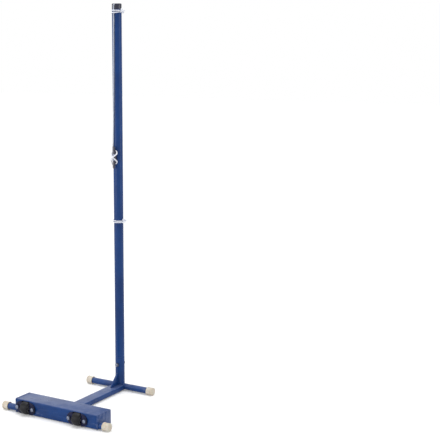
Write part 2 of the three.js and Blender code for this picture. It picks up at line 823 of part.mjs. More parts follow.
// The stretch of the tension cord that lies in the cap's groove, from the +Y side to the box side
function capRoute() {
  const side = uprightRadius + seat + tensionCordRadius;
  const bend = 3 * tensionCordRadius;
  const top = capCordHeight;
  const points = [];
  const quarterSteps = 4;
  points.push([0, side, capBottom - 2 * bend]);
  for (let step = 0; step <= quarterSteps; step++) {
    const angle = (Math.PI / 2) * (step / quarterSteps);
    points.push([0, side - bend + bend * Math.cos(angle), top - bend + bend * Math.sin(angle)]);
  }
  for (let step = quarterSteps; step >= 0; step--) {
    const angle = (Math.PI / 2) * (step / quarterSteps);
    points.push([0, -side + bend - bend * Math.cos(angle), top - bend + bend * Math.sin(angle)]);
  }
  points.push([0, -side, capBottom - 2 * bend]);
  return new CordRoute(points.map((point) => new THREE.Vector3(...point)));
}

// Where the tension cord is laid on the cleat: X, distance out from the upright's axis, height from the
// cleat's middle
const cleatTurns = [
  [-8.6, 20.6, 56],
  [-12.8, 18.2, 32],
  [-13.6, 17.4, 14],
  [-12.8, 18.2, -6],
  [-9.7, 20.8, -18.5],
  [-4.2, 22.2, -25.6],
  [2.0, 22.4, -26],
  [8.4, 22.6, -22],
  [11.6, 25.6, -16],
  [8.6, 33.2, -8],
  [0, 37.0, 0],
  [-8.6, 33.2, 8],
  [-11.6, 26.6, 16],
  [-8.2, 23.2, 22.6],
  [-2.0, 22.4, 26],
  [4.0, 22.4, 25.8],
  [9.4, 23.2, 21],
  [12.2, 27.2, 15],
  [9.2, 36.6, 8],
  [0, 42.8, 0],
  [-9.2, 37.2, -8.2],
  [-12.6, 28.8, -17],
  [-11.6, 24.2, -27],
  [-6, 22.6, -33],
  [1.0, 22.4, -33.6],
];

function addTensionCord() {
  const over = capRoute().points;
  const looseEnd = new THREE.Vector3(0, over[0].y, topTieHeight - looseEndDrop);
  const onCleat = cleatTurns.map(([x, out, height]) => new THREE.Vector3(x, -out, cleatHeight + height));
  const route = new CordRoute([looseEnd, ...over, ...onCleat]);
  const stepsPerPoint = 4;
  const steps = stepsPerPoint * (route.points.length - 1);
  add('tension_cord', cordTube(route, tensionCordRadius, steps), whiteCord);
  const gap = leastGap(route, tensionCordRadius, 8 * steps);
  console.log(`tension cord: least gap to itself ${gap.toFixed(2)} mm, length ${route.getLength().toFixed(0)} mm`);
}

// How the two ends of a tie cord are knotted: distance round the upright from the knot, height above the
// tube's surface layer, and height from the knot's middle, for the start and for the end of the cord
const knotStart = [
  [12, 4.4, -7],
  [8, 5.4, -2.6],
  [1.5, 5.2, 0.6],
  [-4.5, 5.0, 2.6],
  [-10, 3.8, 6.2],
  [-8, 1.2, 9.2],
  [-1.5, 0.2, 8.2],
];
const knotEnd = [
  [1, 0.1, -2.7],
  [8, 0, -3.6],
  [14.6, 0.5, -4.6],
  [20.4, 3.8, -3.4],
  [18.4, 6.4, 1.6],
  [11.5, 8.8, 3.2],
  [4, 10.2, 3.2],
  [-3.5, 10.3, 2.6],
  [-10.5, 8.2, 0.8],
  [-14.6, 5, -4],
];

// Extra distance out, as a share of the full lift, where a turn passes over a cord that runs along the upright
function liftShare(angle, crossingAngle) {
  const halfWidth = 42;
  const away = Math.abs(((((angle - crossingAngle) % 360) + 540) % 360) - 180);
  return away < halfWidth ? Math.cos((away / halfWidth) * (Math.PI / 2)) ** 2 : 0;
}

// Two turns that lie side by side at the knot. The second one sags away from the first behind the knot.
function tieRoute(height, farSpread, crossings) {
  const base = uprightRadius + seat + tieCordRadius;
  const lift = 2 * tensionCordRadius + cordGap;
  const strandPitch = 2 * tieCordRadius + tieStrandGap;
  const place = (angle, out, z) => {
    const radians = THREE.MathUtils.degToRad(angle);
    return new THREE.Vector3(out * Math.cos(radians), out * Math.sin(radians), height + z);
  };
  const lifted = (angle) => lift * Math.max(0, ...crossings.map((crossing) => liftShare(angle, crossing)));
  const knotPlace = ([round, out, z]) => {
    const angle = knotAngle + THREE.MathUtils.radToDeg(round / base);
    return place(angle, base + out + lifted(angle), z);
  };
  const points = knotStart.map(knotPlace);
  const turnSteps = stepsPerTurn * tieTurns;
  for (let step = 1; step < turnSteps; step++) {
    const turn = step / stepsPerTurn;
    const angle = knotAngle + 360 * turn;
    const spread = turn > 1 ? farSpread * Math.sin(Math.PI * turn) ** 2 : 0;
    points.push(place(angle, base + lifted(angle), strandPitch * (tieTurns - 1 / 2 - turn) - spread));
  }
  points.push(...knotEnd.map(knotPlace));
  return new CordRoute(points);
}

function addTieCord(name, height, farSpread, crossings) {
  const route = tieRoute(height, farSpread, crossings);
  const knotPoints = knotStart.length + knotEnd.length;
  const steps = stepsPerTurn * tieTurns + 2 * knotPoints;
  add(name, cordTube(route, tieCordRadius, steps), whiteCord);
  const gap = leastGap(route, tieCordRadius, 8 * steps);
  console.log(`${name}: least gap to itself ${gap.toFixed(2)} mm, length ${route.getLength().toFixed(0)} mm`);
}

addUpright();
addSpigot();
addTopCap();
addSocket();
addSocketBolt();
addGusset();
addStem();
addFrontFoot();
addRearFoot('rear_foot_left', -1, boxLeft + endPlateThickness);
addRearFoot('rear_foot_right', 1, boxRight - endPlateThickness);
addFootCaps();
addBoxCover();
addBoxEnds();
addBoxFloor();
addBallast();
addWheelUnit('left', leftWheelX);
addWheelUnit('right', rightWheelX);
addCleat();
addCleatScrews();
addTensionCord();
addTieCord('top_tie_cord', topTieHeight, topTieSpread, [-90, 90]);
addTieCord('lower_tie_cord', lowerTieHeight, lowerTieSpread, []);

export default model;
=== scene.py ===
# A free-standing badminton net post: its finish, fine shapes and cords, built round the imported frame.
# Metres and degrees. +X runs along the cross feet, -Y along the stem to the ballast box, +Z up.

import json
import math

import bmesh
import bpy
import numpy as np
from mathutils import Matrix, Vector


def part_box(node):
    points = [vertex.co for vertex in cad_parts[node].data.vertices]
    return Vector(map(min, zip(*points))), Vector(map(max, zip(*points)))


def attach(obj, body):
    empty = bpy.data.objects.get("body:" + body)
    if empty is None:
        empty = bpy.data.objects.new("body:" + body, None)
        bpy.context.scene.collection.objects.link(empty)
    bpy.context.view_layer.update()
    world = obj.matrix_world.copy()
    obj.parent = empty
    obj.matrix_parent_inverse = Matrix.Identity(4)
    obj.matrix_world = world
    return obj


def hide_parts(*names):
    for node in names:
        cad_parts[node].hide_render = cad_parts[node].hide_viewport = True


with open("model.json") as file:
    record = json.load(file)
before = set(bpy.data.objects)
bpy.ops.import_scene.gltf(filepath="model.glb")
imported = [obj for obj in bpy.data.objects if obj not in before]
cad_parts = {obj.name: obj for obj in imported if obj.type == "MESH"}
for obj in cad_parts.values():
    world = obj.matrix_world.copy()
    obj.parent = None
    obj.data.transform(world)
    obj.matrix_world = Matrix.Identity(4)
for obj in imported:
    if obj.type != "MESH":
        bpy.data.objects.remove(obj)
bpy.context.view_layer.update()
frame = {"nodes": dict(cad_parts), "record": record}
scene = bpy.context.scene
nodes = frame["nodes"]
slot_of = {part["node"]: part["material_slot"] for part in frame["record"]["subparts"]}


def add_object(name, data):
    made = bpy.data.objects.new(name, data)
    scene.collection.objects.link(made)
    return made


# Camera: the photograph's own viewpoint and framing. The sensor's width is in millimetres.

PHOTO_WIDTH = 440
FOCAL_PIXELS = 1096.1
CENTRE_PIXEL_X = 180
SENSOR_WIDTH = 36.0
CAMERA_PLACE = (2.448, -3.34575, 1.407)
CAMERA_LOOKS_DOWN = 9.28
CAMERA_TURN = 31.24


def add_camera():
    data = bpy.data.cameras.new("camera")
    data.sensor_width = SENSOR_WIDTH
    data.lens = FOCAL_PIXELS / PHOTO_WIDTH * SENSOR_WIDTH
    data.shift_x = (PHOTO_WIDTH / 2 - CENTRE_PIXEL_X) / PHOTO_WIDTH
    camera = add_object("camera", data)
    camera.location = CAMERA_PLACE
    camera.rotation_euler = (math.radians(90 - CAMERA_LOOKS_DOWN), 0, math.radians(CAMERA_TURN))
    scene.camera = camera


# Sizes read from the frame, and the gap between pieces that rest on each other

SEAT = 0.0003
SIDES = ((-1, "left"), (1, "right"))


def middle(node):
    low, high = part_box(node)
    return (low + high) / 2


def extent(node):
    low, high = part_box(node)
    return high - low


upright_axis = middle("upright_tube")
upright_radius = extent("upright_tube").x / 2
post_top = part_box("top_cap")[1].z
upright_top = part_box("upright_tube")[1].z
foot_axis = middle("front_foot_tube")
stem_low, stem_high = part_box("stem")
box_low, box_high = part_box("weight_box_cover")
foot_radius = extent("front_foot_tube").z / 2
fits_over_foot = foot_radius + SEAT


# Surfaces from rings of points

ROUND_SIDES = 72  # a multiple of six, for the hexagons of the fasteners
SHARP_ANGLE = 38
FLAT_ANGLE = 0.3
MERGE = 1e-7
FRAME_MERGE = 1e-6
EDGE_STEPS = 3
END_STEPS = 6
CUT_SHARE = 0.45
BEVEL_SEGMENTS = 2
BEVEL_ROUNDNESS = 0.5


def shade(mesh):
    mesh.shade_smooth()
    mesh.set_sharp_from_angle(angle=math.radians(SHARP_ANGLE))
    return mesh


def smooth_mesh(name, build):
    mesh = bpy.data.meshes.new(name)
    bmesh.ops.remove_doubles(build, verts=build.verts, dist=MERGE)
    bmesh.ops.recalc_face_normals(build, faces=build.faces)
    build.to_mesh(mesh)
    build.free()
    return shade(mesh)


def place(name, mesh, finish, body="base", stands_for=None):
    """A piece of the post: it rides on a body, and may stand for a node, which it then hides."""
    piece = add_object(name, mesh)
    mesh.materials.clear()
    mesh.materials.append(materials[finish])
    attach(piece, body)
    if stands_for:
        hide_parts(stands_for)
    return piece


def skinned(name, rings, loop=False):
    """A mesh through rings of points. With loop the last ring joins the first, otherwise the ends close."""
    build = bmesh.new()
    corners = [[build.verts.new(point) for point in ring] for ring in rings]
    count = len(corners[0])
    for index in range(len(corners) if loop else len(corners) - 1):
        one, other = corners[index], corners[(index + 1) % len(corners)]
        for side in range(count):
            after = (side + 1) % count
            build.faces.new((one[side], one[after], other[after], other[side]))
    if not loop:
        build.faces.new(corners[0])
        build.faces.new(corners[-1])
    return smooth_mesh(name, build)


def eased(profile, radius, loop=True, steps=EDGE_STEPS):
    """The profile with its corners rounded. Corners on the axis stay."""
    points = [Vector(point) for point in profile]
    rounded = []
    for index, point in enumerate(points):
        if point.x == 0 or (not loop and index in (0, len(points) - 1)):
            rounded.append(point)
            continue
        before = points[index - 1] - point
        after = points[(index + 1) % len(points)] - point
        cut = min(radius, CUT_SHARE * before.length, CUT_SHARE * after.length)
        start = point + before.normalized() * cut
        end = point + after.normalized() * cut
        for step in range(steps + 1):
            share = step / steps
            rounded.append(start.lerp(point, share).lerp(point.lerp(end, share), share))
    return rounded


def turned(name, profile, axis, centre, loop=True, sides=ROUND_SIDES, shape=None):
    """A surface turned about X, Y or Z. The profile holds (radius, place along the axis) pairs, and shape
    may change the radius at an angle."""
    angles = np.linspace(0, 2 * math.pi, sides, endpoint=False)
    first, second = {"X": (1, 2), "Y": (2, 0), "Z": (0, 1)}[axis]
    along = "XYZ".index(axis)
    rings = []
    for radius, height in profile:
        radii = np.full(sides, radius) if shape is None else shape(angles, radius, height)
        ring = np.empty((sides, 3))
        ring[:, first] = centre[first] + radii * np.cos(angles)
        ring[:, second] = centre[second] + radii * np.sin(angles)
        ring[:, along] = height
        rings.append(ring)
    return skinned(name, rings, loop)


def turned_piece(node, profile, axis, finish, body="base", **form):
    """A turned form that stands for the node, about the node's own middle."""
    name = f"fine_{node}"
    mesh = turned(name, profile, axis, middle(node), **form)
    place(name, mesh, finish, body, node)


def pipe_profile(outer, inner, low, high, edge):
    return eased([(outer, low), (outer, high), (inner, high), (inner, low)], edge)


def add_softened(node, width, finish):
    """The node's own form with its sharp edges rounded."""
    name = f"fine_{node}"
    build = bmesh.new()
    build.from_mesh(nodes[node].data)
    bmesh.ops.remove_doubles(build, verts=build.verts, dist=FRAME_MERGE)
    flat = math.radians(FLAT_ANGLE)
    bmesh.ops.dissolve_limit(build, angle_limit=flat, verts=build.verts, edges=build.edges)
    sharp = [edge for edge in build.edges if edge.calc_face_angle(0) > math.radians(SHARP_ANGLE)]
    form = {"segments": BEVEL_SEGMENTS, "profile": BEVEL_ROUNDNESS, "affect": "EDGES"}
    bmesh.ops.bevel(build, geom=sharp, offset=width, clamp_overlap=True, **form)
    mesh = smooth_mesh(name, build)
    if "custom_normal" in mesh.attributes:
        mesh.attributes.remove(mesh.attributes["custom_normal"])
    place(name, mesh, finish, stands_for=node)


def carved(mesh, *cutters):
    """The mesh with the cutters' forms taken out of it."""
    piece = add_object("carving", mesh)
    tools = []
    for cutter in cutters:
        tool = add_object("cutter", cutter)
        tools.append(tool)
        boolean = piece.modifiers.new("cut", "BOOLEAN")
        boolean.object = tool
        boolean.solver = "EXACT"
    made = bpy.data.meshes.new_from_object(piece.evaluated_get(bpy.context.evaluated_depsgraph_get()))
    for used in (piece, *tools):
        bpy.data.objects.remove(used)
    return shade(made)


def block(low, high):
    (x0, y0, z0), (x1, y1, z1) = low, high
    ends = [[(x0, y0, z), (x1, y0, z), (x1, y1, z), (x0, y1, z)] for z in (z0, z1)]
    return skinned("block", ends)


# Routes

NEARLY_UPRIGHT = 0.9


def smooth_route(points, steps):
    """A centripetal Catmull-Rom curve through the points."""
    points = [np.array(point, float) for point in points]
    points = [2 * points[0] - points[1], *points, 2 * points[-1] - points[-2]]
    made = [points[1]]
    for p0, p1, p2, p3 in zip(points, points[1:], points[2:], points[3:]):
        gap0, gap1, gap2 = (math.sqrt(np.linalg.norm(b - a)) for a, b in ((p0, p1), (p1, p2), (p2, p3)))
        leave = ((p1 - p0) / gap0 - (p2 - p0) / (gap0 + gap1) + (p2 - p1) / gap1) * gap1
        arrive = ((p2 - p1) / gap1 - (p3 - p1) / (gap1 + gap2) + (p3 - p2) / gap2) * gap1
        for step in range(1, steps + 1):
            t = step / steps
            made.append(
                (2 * t**3 - 3 * t**2 + 1) * p1
                + (t**3 - 2 * t**2 + t) * leave
                + (3 * t**2 - 2 * t**3) * p2
                + (t**3 - t**2) * arrive
            )
    return np.array(made)


def even_steps(path, spacing):
    """The path at even steps, and the distance along it of each."""
    lengths = np.linalg.norm(np.diff(path, axis=0), axis=1)
    along = np.concatenate([[0], np.cumsum(lengths)])
    count = max(2, round(along[-1] / spacing))
    stops = np.linspace(0, along[-1], count + 1)
    return np.stack([np.interp(stops, along, path[:, k]) for k in range(3)], axis=1), stops


def cross_axes(path, closed=False):
    """Two directions across the path at each point, carried along it without twist."""
    if closed:
        tangents = np.roll(path, -1, axis=0) - np.roll(path, 1, axis=0)
    else:
        tangents = np.gradient(path, axis=0)
    tangents /= np.linalg.norm(tangents, axis=1)[:, None]
    upright = abs(tangents[0][2]) >= NEARLY_UPRIGHT
    previous = np.array((1.0, 0.0, 0.0) if upright else (0.0, 0.0, 1.0))
    across = []
    for tangent in tangents:
        previous = previous - tangent * (previous @ tangent)
        previous = previous / np.linalg.norm(previous)
        across.append(previous)
    across = np.array(across)
    return across, np.cross(tangents, across)


def tube_rings(path, radii, closed=False):
    """Rings round the path. Radii holds a row for each point of the path and a column for each side."""
    sides = radii.shape[1]
    angles = np.linspace(0, 2 * math.pi, sides, endpoint=False)
    one, other = cross_axes(path, closed)
    circle = one[:, None] * np.cos(angles)[None, :, None] + other[:, None] * np.sin(angles)[None, :, None]
    return path[:, None] + circle * radii[:, :, None]


# Materials


class Shader:
    """A material with a Principled shader, and short ways to add the nodes that drive it."""

    def __init__(self, name, **inputs):
        self.material = bpy.data.materials.new(name)
        self.material.use_nodes = True
        self.tree = self.material.node_tree
        self.surface = self.tree.nodes["Principled BSDF"]
        self.fill(self.surface, **inputs)
        self.position = self.node("ShaderNodeTexCoord").outputs["Object"]

    def node(self, kind, **settings):
        made = self.tree.nodes.new(kind)
        for key, value in settings.items():
            setattr(made, key, value)
        return made

    def join(self, value, socket):
        if isinstance(value, bpy.types.NodeSocket):
            self.tree.links.new(value, socket)
        else:
            socket.default_value = value

    def fill(self, node, **inputs):
        for key, value in inputs.items():
            self.join(value, node.inputs[key.replace("_", " ")])

    def noise(self, size, detail=3, roughness=0.55, stretch=None, distortion=0.0):
        """Noise whose features are about this size, in metres. Stretch scales the place along each axis."""
        made = self.node("ShaderNodeTexNoise")
        self.fill(made, Scale=1 / size, Detail=detail, Roughness=roughness, Distortion=distortion)
        position = self.position
        if stretch:
            scaled = self.node("ShaderNodeVectorMath", operation="MULTIPLY")
            self.join(position, scaled.inputs[0])
            self.join(stretch, scaled.inputs[1])
            position = scaled.outputs[0]
        self.fill(made, Vector=position)
        return made.outputs["Fac"]

    def remap(self, value, low, high, to_low=0.0, to_high=1.0):
        made = self.node("ShaderNodeMapRange", clamp=True)
        self.fill(made, Value=value, From_Min=low, From_Max=high, To_Min=to_low, To_Max=to_high)
        return made.outputs["Result"]

    def maths(self, operation, one, other=0.0):
        made = self.node("ShaderNodeMath", operation=operation)
        self.join(one, made.inputs[0])
        self.join(other, made.inputs[1])
        return made.outputs[0]

    def mix(self, share, one, other):
        made = self.node("ShaderNodeMix", data_type="RGBA")
        self.fill(made, Factor=share, A=one, B=other)
        return made.outputs["Result"]

    def colour(self, value):
        self.fill(self.surface, Base_Color=value)

    def rough(self, value):
        self.fill(self.surface, Roughness=value)

    def bump(self, height, depth, after=None):
        made = self.node("ShaderNodeBump")
        self.fill(made, Distance=depth, Height=height)
        if after is not None:
            self.fill(made, Normal=after)
        self.fill(self.surface, Normal=made.outputs["Normal"])
        return made.outputs["Normal"]

    def upward_part(self, vector):
        split = self.node("ShaderNodeSeparateXYZ")
        self.join(vector, split.inputs[0])
        return split.outputs["Z"]

    def height_above_floor(self):
        return self.upward_part(self.position)

    def facing_up(self):
        normal = self.node("ShaderNodeNewGeometry").outputs["Normal"]
        return self.remap(self.upward_part(normal), low=0.3, high=1)


def srgb(code):
    """A colour written as six hex digits, in linear light by the standard curve."""
    parts = [int(code[i : i + 2], 16) / 255 for i in (0, 2, 4)]
    return (*(p / 12.92 if p <= 0.04045 else ((p + 0.055) / 1.055) ** 2.4 for p in parts), 1)


TONE_SIZE = 0.09
SPECK_SIZE = 0.0011
DUST_SIZE = 0.03
SCUFF_SIZE = 0.012
PAINT_GLOSS_SIZE = 0.05
PEEL_SIZE = 0.0016
PEEL_DEPTH = 0.00004
COAT_WAVE_SIZE = 0.015
COAT_WAVE_DEPTH = 0.00012


def paint(name, main, deep, dust_and_sheen, coat, scuff_top=0.05, scuff_from=0.58):
    """Powder coat: a faint orange peel, soft shifts of tone, upward faces lightened by a dusting and a
    painted highlight, and scuffs near the floor.
    A lower scuff_from means more scuffs, and they thin out towards the height scuff_top."""
    shader = Shader(name, Coat_Weight=coat, Coat_Roughness=0.12, Specular_IOR_Level=0.14)
    tone = shader.remap(shader.noise(TONE_SIZE, detail=4), low=0.35, high=0.65)
    body = shader.mix(tone, srgb(deep), srgb(main))
    specks = shader.remap(shader.noise(SPECK_SIZE, detail=1), low=0.62, high=0.72, to_high=0.1)
    body = shader.mix(specks, body, srgb(dust_and_sheen))
    # Upward faces are lightened: partly a dusting, partly a painted highlight.
    dusty = shader.remap(shader.noise(DUST_SIZE), low=0.35, high=0.7, to_low=0.12, to_high=0.3)
    body = shader.mix(shader.maths("MULTIPLY", shader.facing_up(), dusty), body, srgb(dust_and_sheen))
    low_down = shader.remap(shader.height_above_floor(), low=0, high=scuff_top, to_low=1, to_high=0)
    streaks = shader.noise(SCUFF_SIZE, detail=6, roughness=0.7, stretch=(0.25, 1, 1), distortion=0.4)
    scuffed = shader.remap(streaks, low=scuff_from, high=0.7, to_high=0.45)
    shader.colour(shader.mix(shader.maths("MULTIPLY", low_down, scuffed), body, srgb(dust_and_sheen)))
    gloss = shader.noise(PAINT_GLOSS_SIZE, detail=5)
    shader.rough(shader.remap(gloss, low=0.3, high=0.7, to_low=0.26, to_high=0.38))
    peel = shader.bump(shader.noise(PEEL_SIZE, detail=1, roughness=0.4), PEEL_DEPTH)
    shader.bump(shader.noise(COAT_WAVE_SIZE, detail=2), COAT_WAVE_DEPTH, after=peel)
    return shader.material


FLOW_MARK_SIZE = 0.02
SCRATCH_SIZE = 0.004
PLASTIC_GLOSS_SIZE = 0.01
GRAIN_DEPTH = 0.00005


def moulded_plastic(name, main, pale, grain, roughness):
    """Moulded plastic: a fine grain, faint flow marks and light scratches."""
    shader = Shader(name, Specular_IOR_Level=0.6)
    flow = shader.noise(FLOW_MARK_SIZE, detail=4, distortion=0.6)
    body = shader.mix(shader.remap(flow, low=0.35, high=0.7, to_high=0.5), srgb(main), srgb(pale))
    scratches = shader.noise(SCRATCH_SIZE, detail=5, roughness=0.75, stretch=(0.2, 0.2, 2.5))
    scratched = shader.remap(scratches, low=0.64, high=0.72, to_high=0.35)
    shader.colour(shader.mix(scratched, body, srgb(pale)))
    gloss = shader.noise(PLASTIC_GLOSS_SIZE, detail=4)
    shader.rough(shader.remap(gloss, low=0.3, high=0.7, to_low=roughness - 0.07, to_high=roughness + 0.1))
    shader.bump(shader.noise(grain, detail=2), GRAIN_DEPTH)
    return shader.material


YELLOWED_SIZE = 0.018
STAIN_SIZE = 0.006
RUBBED_UP_TO = 0.012
SOFT_GRAIN_SIZE = 0.0014
SOFT_GRAIN_DEPTH = 0.00008


def cream_plastic():
    """Soft cream plastic, yellowed in patches and rubbed grey where it meets the floor."""
    shader = Shader("cream_plastic", Subsurface_Weight=0.08, Subsurface_Scale=0.004, Specular_IOR_Level=0.4)
    yellowed = shader.remap(shader.noise(YELLOWED_SIZE, detail=4), low=0.35, high=0.68)
    body = shader.mix(yellowed, srgb("cfc9bd"), srgb("bfb3a0"))
    stains = shader.noise(STAIN_SIZE, detail=6, roughness=0.7)
    low_down = shader.remap(shader.height_above_floor(), low=0, high=RUBBED_UP_TO, to_low=1, to_high=0.12)
    stained = shader.remap(stains, low=0.48, high=0.68, to_high=0.75)
    shader.colour(shader.mix(shader.maths("MULTIPLY", low_down, stained), body, srgb("857c70")))
    shader.rough(shader.remap(stains, low=0.3, high=0.7, to_low=0.42, to_high=0.66))
    shader.bump(shader.noise(SOFT_GRAIN_SIZE), SOFT_GRAIN_DEPTH)
    return shader.material


TREAD_WEAR_SIZE = 0.008
RUBBER_GRAIN_SIZE = 0.0012
RUBBER_GRAIN_DEPTH = 0.00012


def tyre_rubber():
    """Matt rubber with a dusty tread."""
    shader = Shader("tyre_rubber", Specular_IOR_Level=0.2)
    wear = shader.noise(TREAD_WEAR_SIZE, detail=6, roughness=0.7, stretch=(0.4, 1, 1))
    worn = shader.remap(wear, low=0.4, high=0.72)
    shader.colour(shader.mix(worn, srgb("0e0f12"), srgb("222226")))
    shader.rough(shader.remap(worn, low=0, high=1, to_low=0.36, to_high=0.6))
    shader.bump(shader.noise(RUBBER_GRAIN_SIZE, detail=4), RUBBER_GRAIN_DEPTH)
    return shader.material


CLOUD_SIZE = 0.004
ROLLING_LINE_SIZE = 0.0006
ROLLING_LINE_DEPTH = 0.00003


def plated_steel(name, bright, dull, roughness):
    """Plated or bare steel with cloudy patches and fine rolling lines."""
    shader = Shader(name, Metallic=0.9)
    cloud = shader.remap(shader.noise(CLOUD_SIZE, detail=5, roughness=0.65), low=0.35, high=0.7)
    shader.colour(shader.mix(cloud, srgb(bright), srgb(dull)))
    shader.rough(shader.remap(cloud, low=0, high=1, to_low=roughness - 0.08, to_high=roughness + 0.16))
    shader.bump(shader.noise(ROLLING_LINE_SIZE, detail=2, stretch=(1, 0.2, 1)), ROLLING_LINE_DEPTH)
    return shader.material


RUST_SIZE = 0.01
CAST_GRAIN_SIZE = 0.003
CAST_GRAIN_DEPTH = 0.0004


def cast_ballast():
    """Rough cast iron with rust in its hollows."""
    shader = Shader("cast_ballast", Metallic=0.5)
    rust = shader.remap(shader.noise(RUST_SIZE, detail=7, roughness=0.7), low=0.45, high=0.62)
    shader.colour(shader.mix(rust, srgb("5b5957"), srgb("7a4e34")))
    shader.rough(shader.remap(rust, low=0, high=1, to_low=0.55, to_high=0.9))
    shader.bump(shader.noise(CAST_GRAIN_SIZE, detail=6), CAST_GRAIN_DEPTH)
    return shader.material


YARNS = 4
YARN_DEPTH = 0.00006
FIBRE_SIZE = 0.0004
FIBRE_DEPTH = 0.00008
CORD_TONE_SIZE = 0.02
# The tension cord is painted grey above a height, as painted shade; the ties' height is above the post.
SHADE_FADES_OVER = 0.03
TENSION_SHADED_FROM = 0.98
TIES_SHADED_FROM = 2.0


def braided_cord(name, shaded_from):
    """White braided cord. The strands are in the mesh, and its map counts them across and along. Here each
    strand gets its yarns, and the low places between strands are darkened with painted shade. Above the
    given height the cord is painted grey, a painted shade."""
    shader = Shader(name, Sheen_Weight=0.3, Sheen_Roughness=0.5, Specular_IOR_Level=0.3)
    split = shader.node("ShaderNodeSeparateXYZ")
    shader.join(shader.node("ShaderNodeUVMap", uv_map="strands").outputs["UV"], split.inputs[0])
    right = shader.maths("ADD", split.outputs["X"], split.outputs["Y"])
    left = shader.maths("SUBTRACT", split.outputs["X"], split.outputs["Y"])
    cells = shader.maths("ADD", shader.maths("FLOOR", right), shader.maths("FLOOR", left))
    left_on_top = shader.maths("FLOORED_MODULO", cells, 2.0)
    right_on_top = shader.maths("SUBTRACT", 1.0, left_on_top)
    from_right = shader.maths("MULTIPLY", right, right_on_top)
    from_left = shader.maths("MULTIPLY", left, left_on_top)
    across = shader.maths("ADD", from_right, from_left)
    yarns = shader.maths("SINE", shader.maths("MULTIPLY", across, 2 * math.pi * YARNS))
    bulge = shader.maths("SINE", shader.maths("MULTIPLY", shader.maths("FRACT", across), math.pi))
    tone = shader.remap(shader.noise(CORD_TONE_SIZE), low=0.35, high=0.7)
    unshaded = shader.mix(tone, srgb("f2f4fb"), srgb("e6e9f3"))
    grey = shader.mix(tone, srgb("b0b6c4"), srgb("9fa6b5"))
    # Painted shade: above the given height the cord is painted grey.
    painted_shade = shader.remap(shader.height_above_floor(), low=shaded_from, high=shaded_from + SHADE_FADES_OVER)
    body = shader.mix(painted_shade, unshaded, grey)
    # Painted shade: the low places between strands are darkened towards grey-blue.
    between = shader.remap(bulge, low=0.1, high=0.75, to_low=0.3, to_high=0)
    shader.colour(shader.mix(between, body, srgb("6f7890")))
    shader.rough(shader.remap(yarns, low=-1, high=1, to_low=0.75, to_high=0.9))
    relief = shader.bump(yarns, YARN_DEPTH)
    shader.bump(shader.noise(FIBRE_SIZE, detail=2), FIBRE_DEPTH, after=relief)
    return shader.material


def make_materials():
    """The ties get the cords' painted shade only above the post's top, which is nowhere."""
    # The third colour serves specks, scuffs, and upward faces that are partly a dusting, partly a painted
    # highlight.
    blue = ("123b76", "0e3166", "8992ae")
    return {
        "blue_paint": paint("blue_paint", *blue, coat=0.1),
        # For the end plates: scuffs over the whole plate, partly wear and partly a painted reflection that
        # greys them.
        "scuffed_and_sheen_paint": paint("scuffed_and_sheen_paint", *blue, coat=0.1, scuff_top=0.3, scuff_from=0.4),
        "dark_paint": paint("dark_paint", "11163a", "0c102c", "565d80", coat=0.06),
        "black_plastic": moulded_plastic("black_plastic", "090e2a", "141a38", grain=0.0007, roughness=0.17),
        "cream_plastic": cream_plastic(),
        "tyre": tyre_rubber(),
        "grey_nylon": moulded_plastic("grey_nylon", "414147", "5a5a60", grain=0.0012, roughness=0.55),
        "zinc_steel": plated_steel("zinc_steel", "7f8698", "5c6272", roughness=0.24),
        # Washers and nuts: zinc darker and duller than the bolts'.
        "dark_zinc": plated_steel("dark_zinc", "4b5060", "343846", roughness=0.45),
        "raw_steel": plated_steel("raw_steel", "7d7b79", "5f5b57", roughness=0.5),
        "cast_ballast": cast_ballast(),
        "white_cord": braided_cord("white_cord", TIES_SHADED_FROM),
        # The tension cord, painted grey as shade on its upper stretch
        "shaded_cord": braided_cord("shaded_cord", TENSION_SHADED_FROM),
    }


materials = make_materials()


def dress_frame_nodes():
    """Each node of the frame takes its slot's material. What is built below hides the nodes it replaces."""
    for name, node in nodes.items():
        node.data.materials.clear()
        node.data.materials.append(materials[slot_of[name]])


# Cords. The points repeat the frame's routes.

TENSION_RADIUS = 0.0025
TIE_RADIUS = 0.002
CORD_GAP = 0.0004
CLEAT_HEIGHT = 0.955
TOP_TIE_HEIGHT = 1.520
LOWER_TIE_HEIGHT = 0.697
LOOSE_END_DROP = 0.028
CAP_BEND = 3 * TENSION_RADIUS
CAP_BEND_STEPS = 4
TIE_TURNS = 2
TIE_STRAND_GAP = 0.0006
TOP_TIE_SPREAD = 0.0065
LOWER_TIE_SPREAD = 0.0025
TURN_STEPS = 24
KNOT_ANGLE = 15
TENSION_CORD_ANGLES = (-90, 90)
LIFT_HALF_WIDTH = 42
TENSION_CURVE_STEPS = 24
TIE_CURVE_STEPS = 12
TENSION_STRANDS = 5
TIE_STRANDS = 4
TENSION_MESH_STEP = 0.0006
TIE_MESH_STEP = 0.00055
STRAND_SIDES = 6
BRAID_SHARE = 0.13
DIP_SHARE = 0.45
STRAND_ROUNDNESS = 0.7
LEAST_TIP_SHARE = 0.02

# X, distance out from the upright's axis, height from the cleat's middle
CLEAT_TURNS = [
    (-0.0086, 0.0206, 0.056),
    (-0.0128, 0.0182, 0.032),
    (-0.0136, 0.0174, 0.014),
    (-0.0128, 0.0182, -0.006),
    (-0.0097, 0.0208, -0.0185),
    (-0.0042, 0.0222, -0.0256),
    (0.002, 0.0224, -0.026),
    (0.0084, 0.0226, -0.022),
    (0.0116, 0.0256, -0.016),
    (0.0086, 0.0332, -0.008),
    (0, 0.037, 0),
    (-0.0086, 0.0332, 0.008),
    (-0.0116, 0.0266, 0.016),
    (-0.0082, 0.0232, 0.0226),
    (-0.002, 0.0224, 0.026),
    (0.004, 0.0224, 0.0258),
    (0.0094, 0.0232, 0.021),
    (0.0122, 0.0272, 0.015),
    (0.0092, 0.0366, 0.008),
    (0, 0.0428, 0),
    (-0.0092, 0.0372, -0.0082),
    (-0.0126, 0.0288, -0.017),
    (-0.0116, 0.0242, -0.027),
    (-0.006, 0.0226, -0.033),
    (0.001, 0.0224, -0.0336),
]

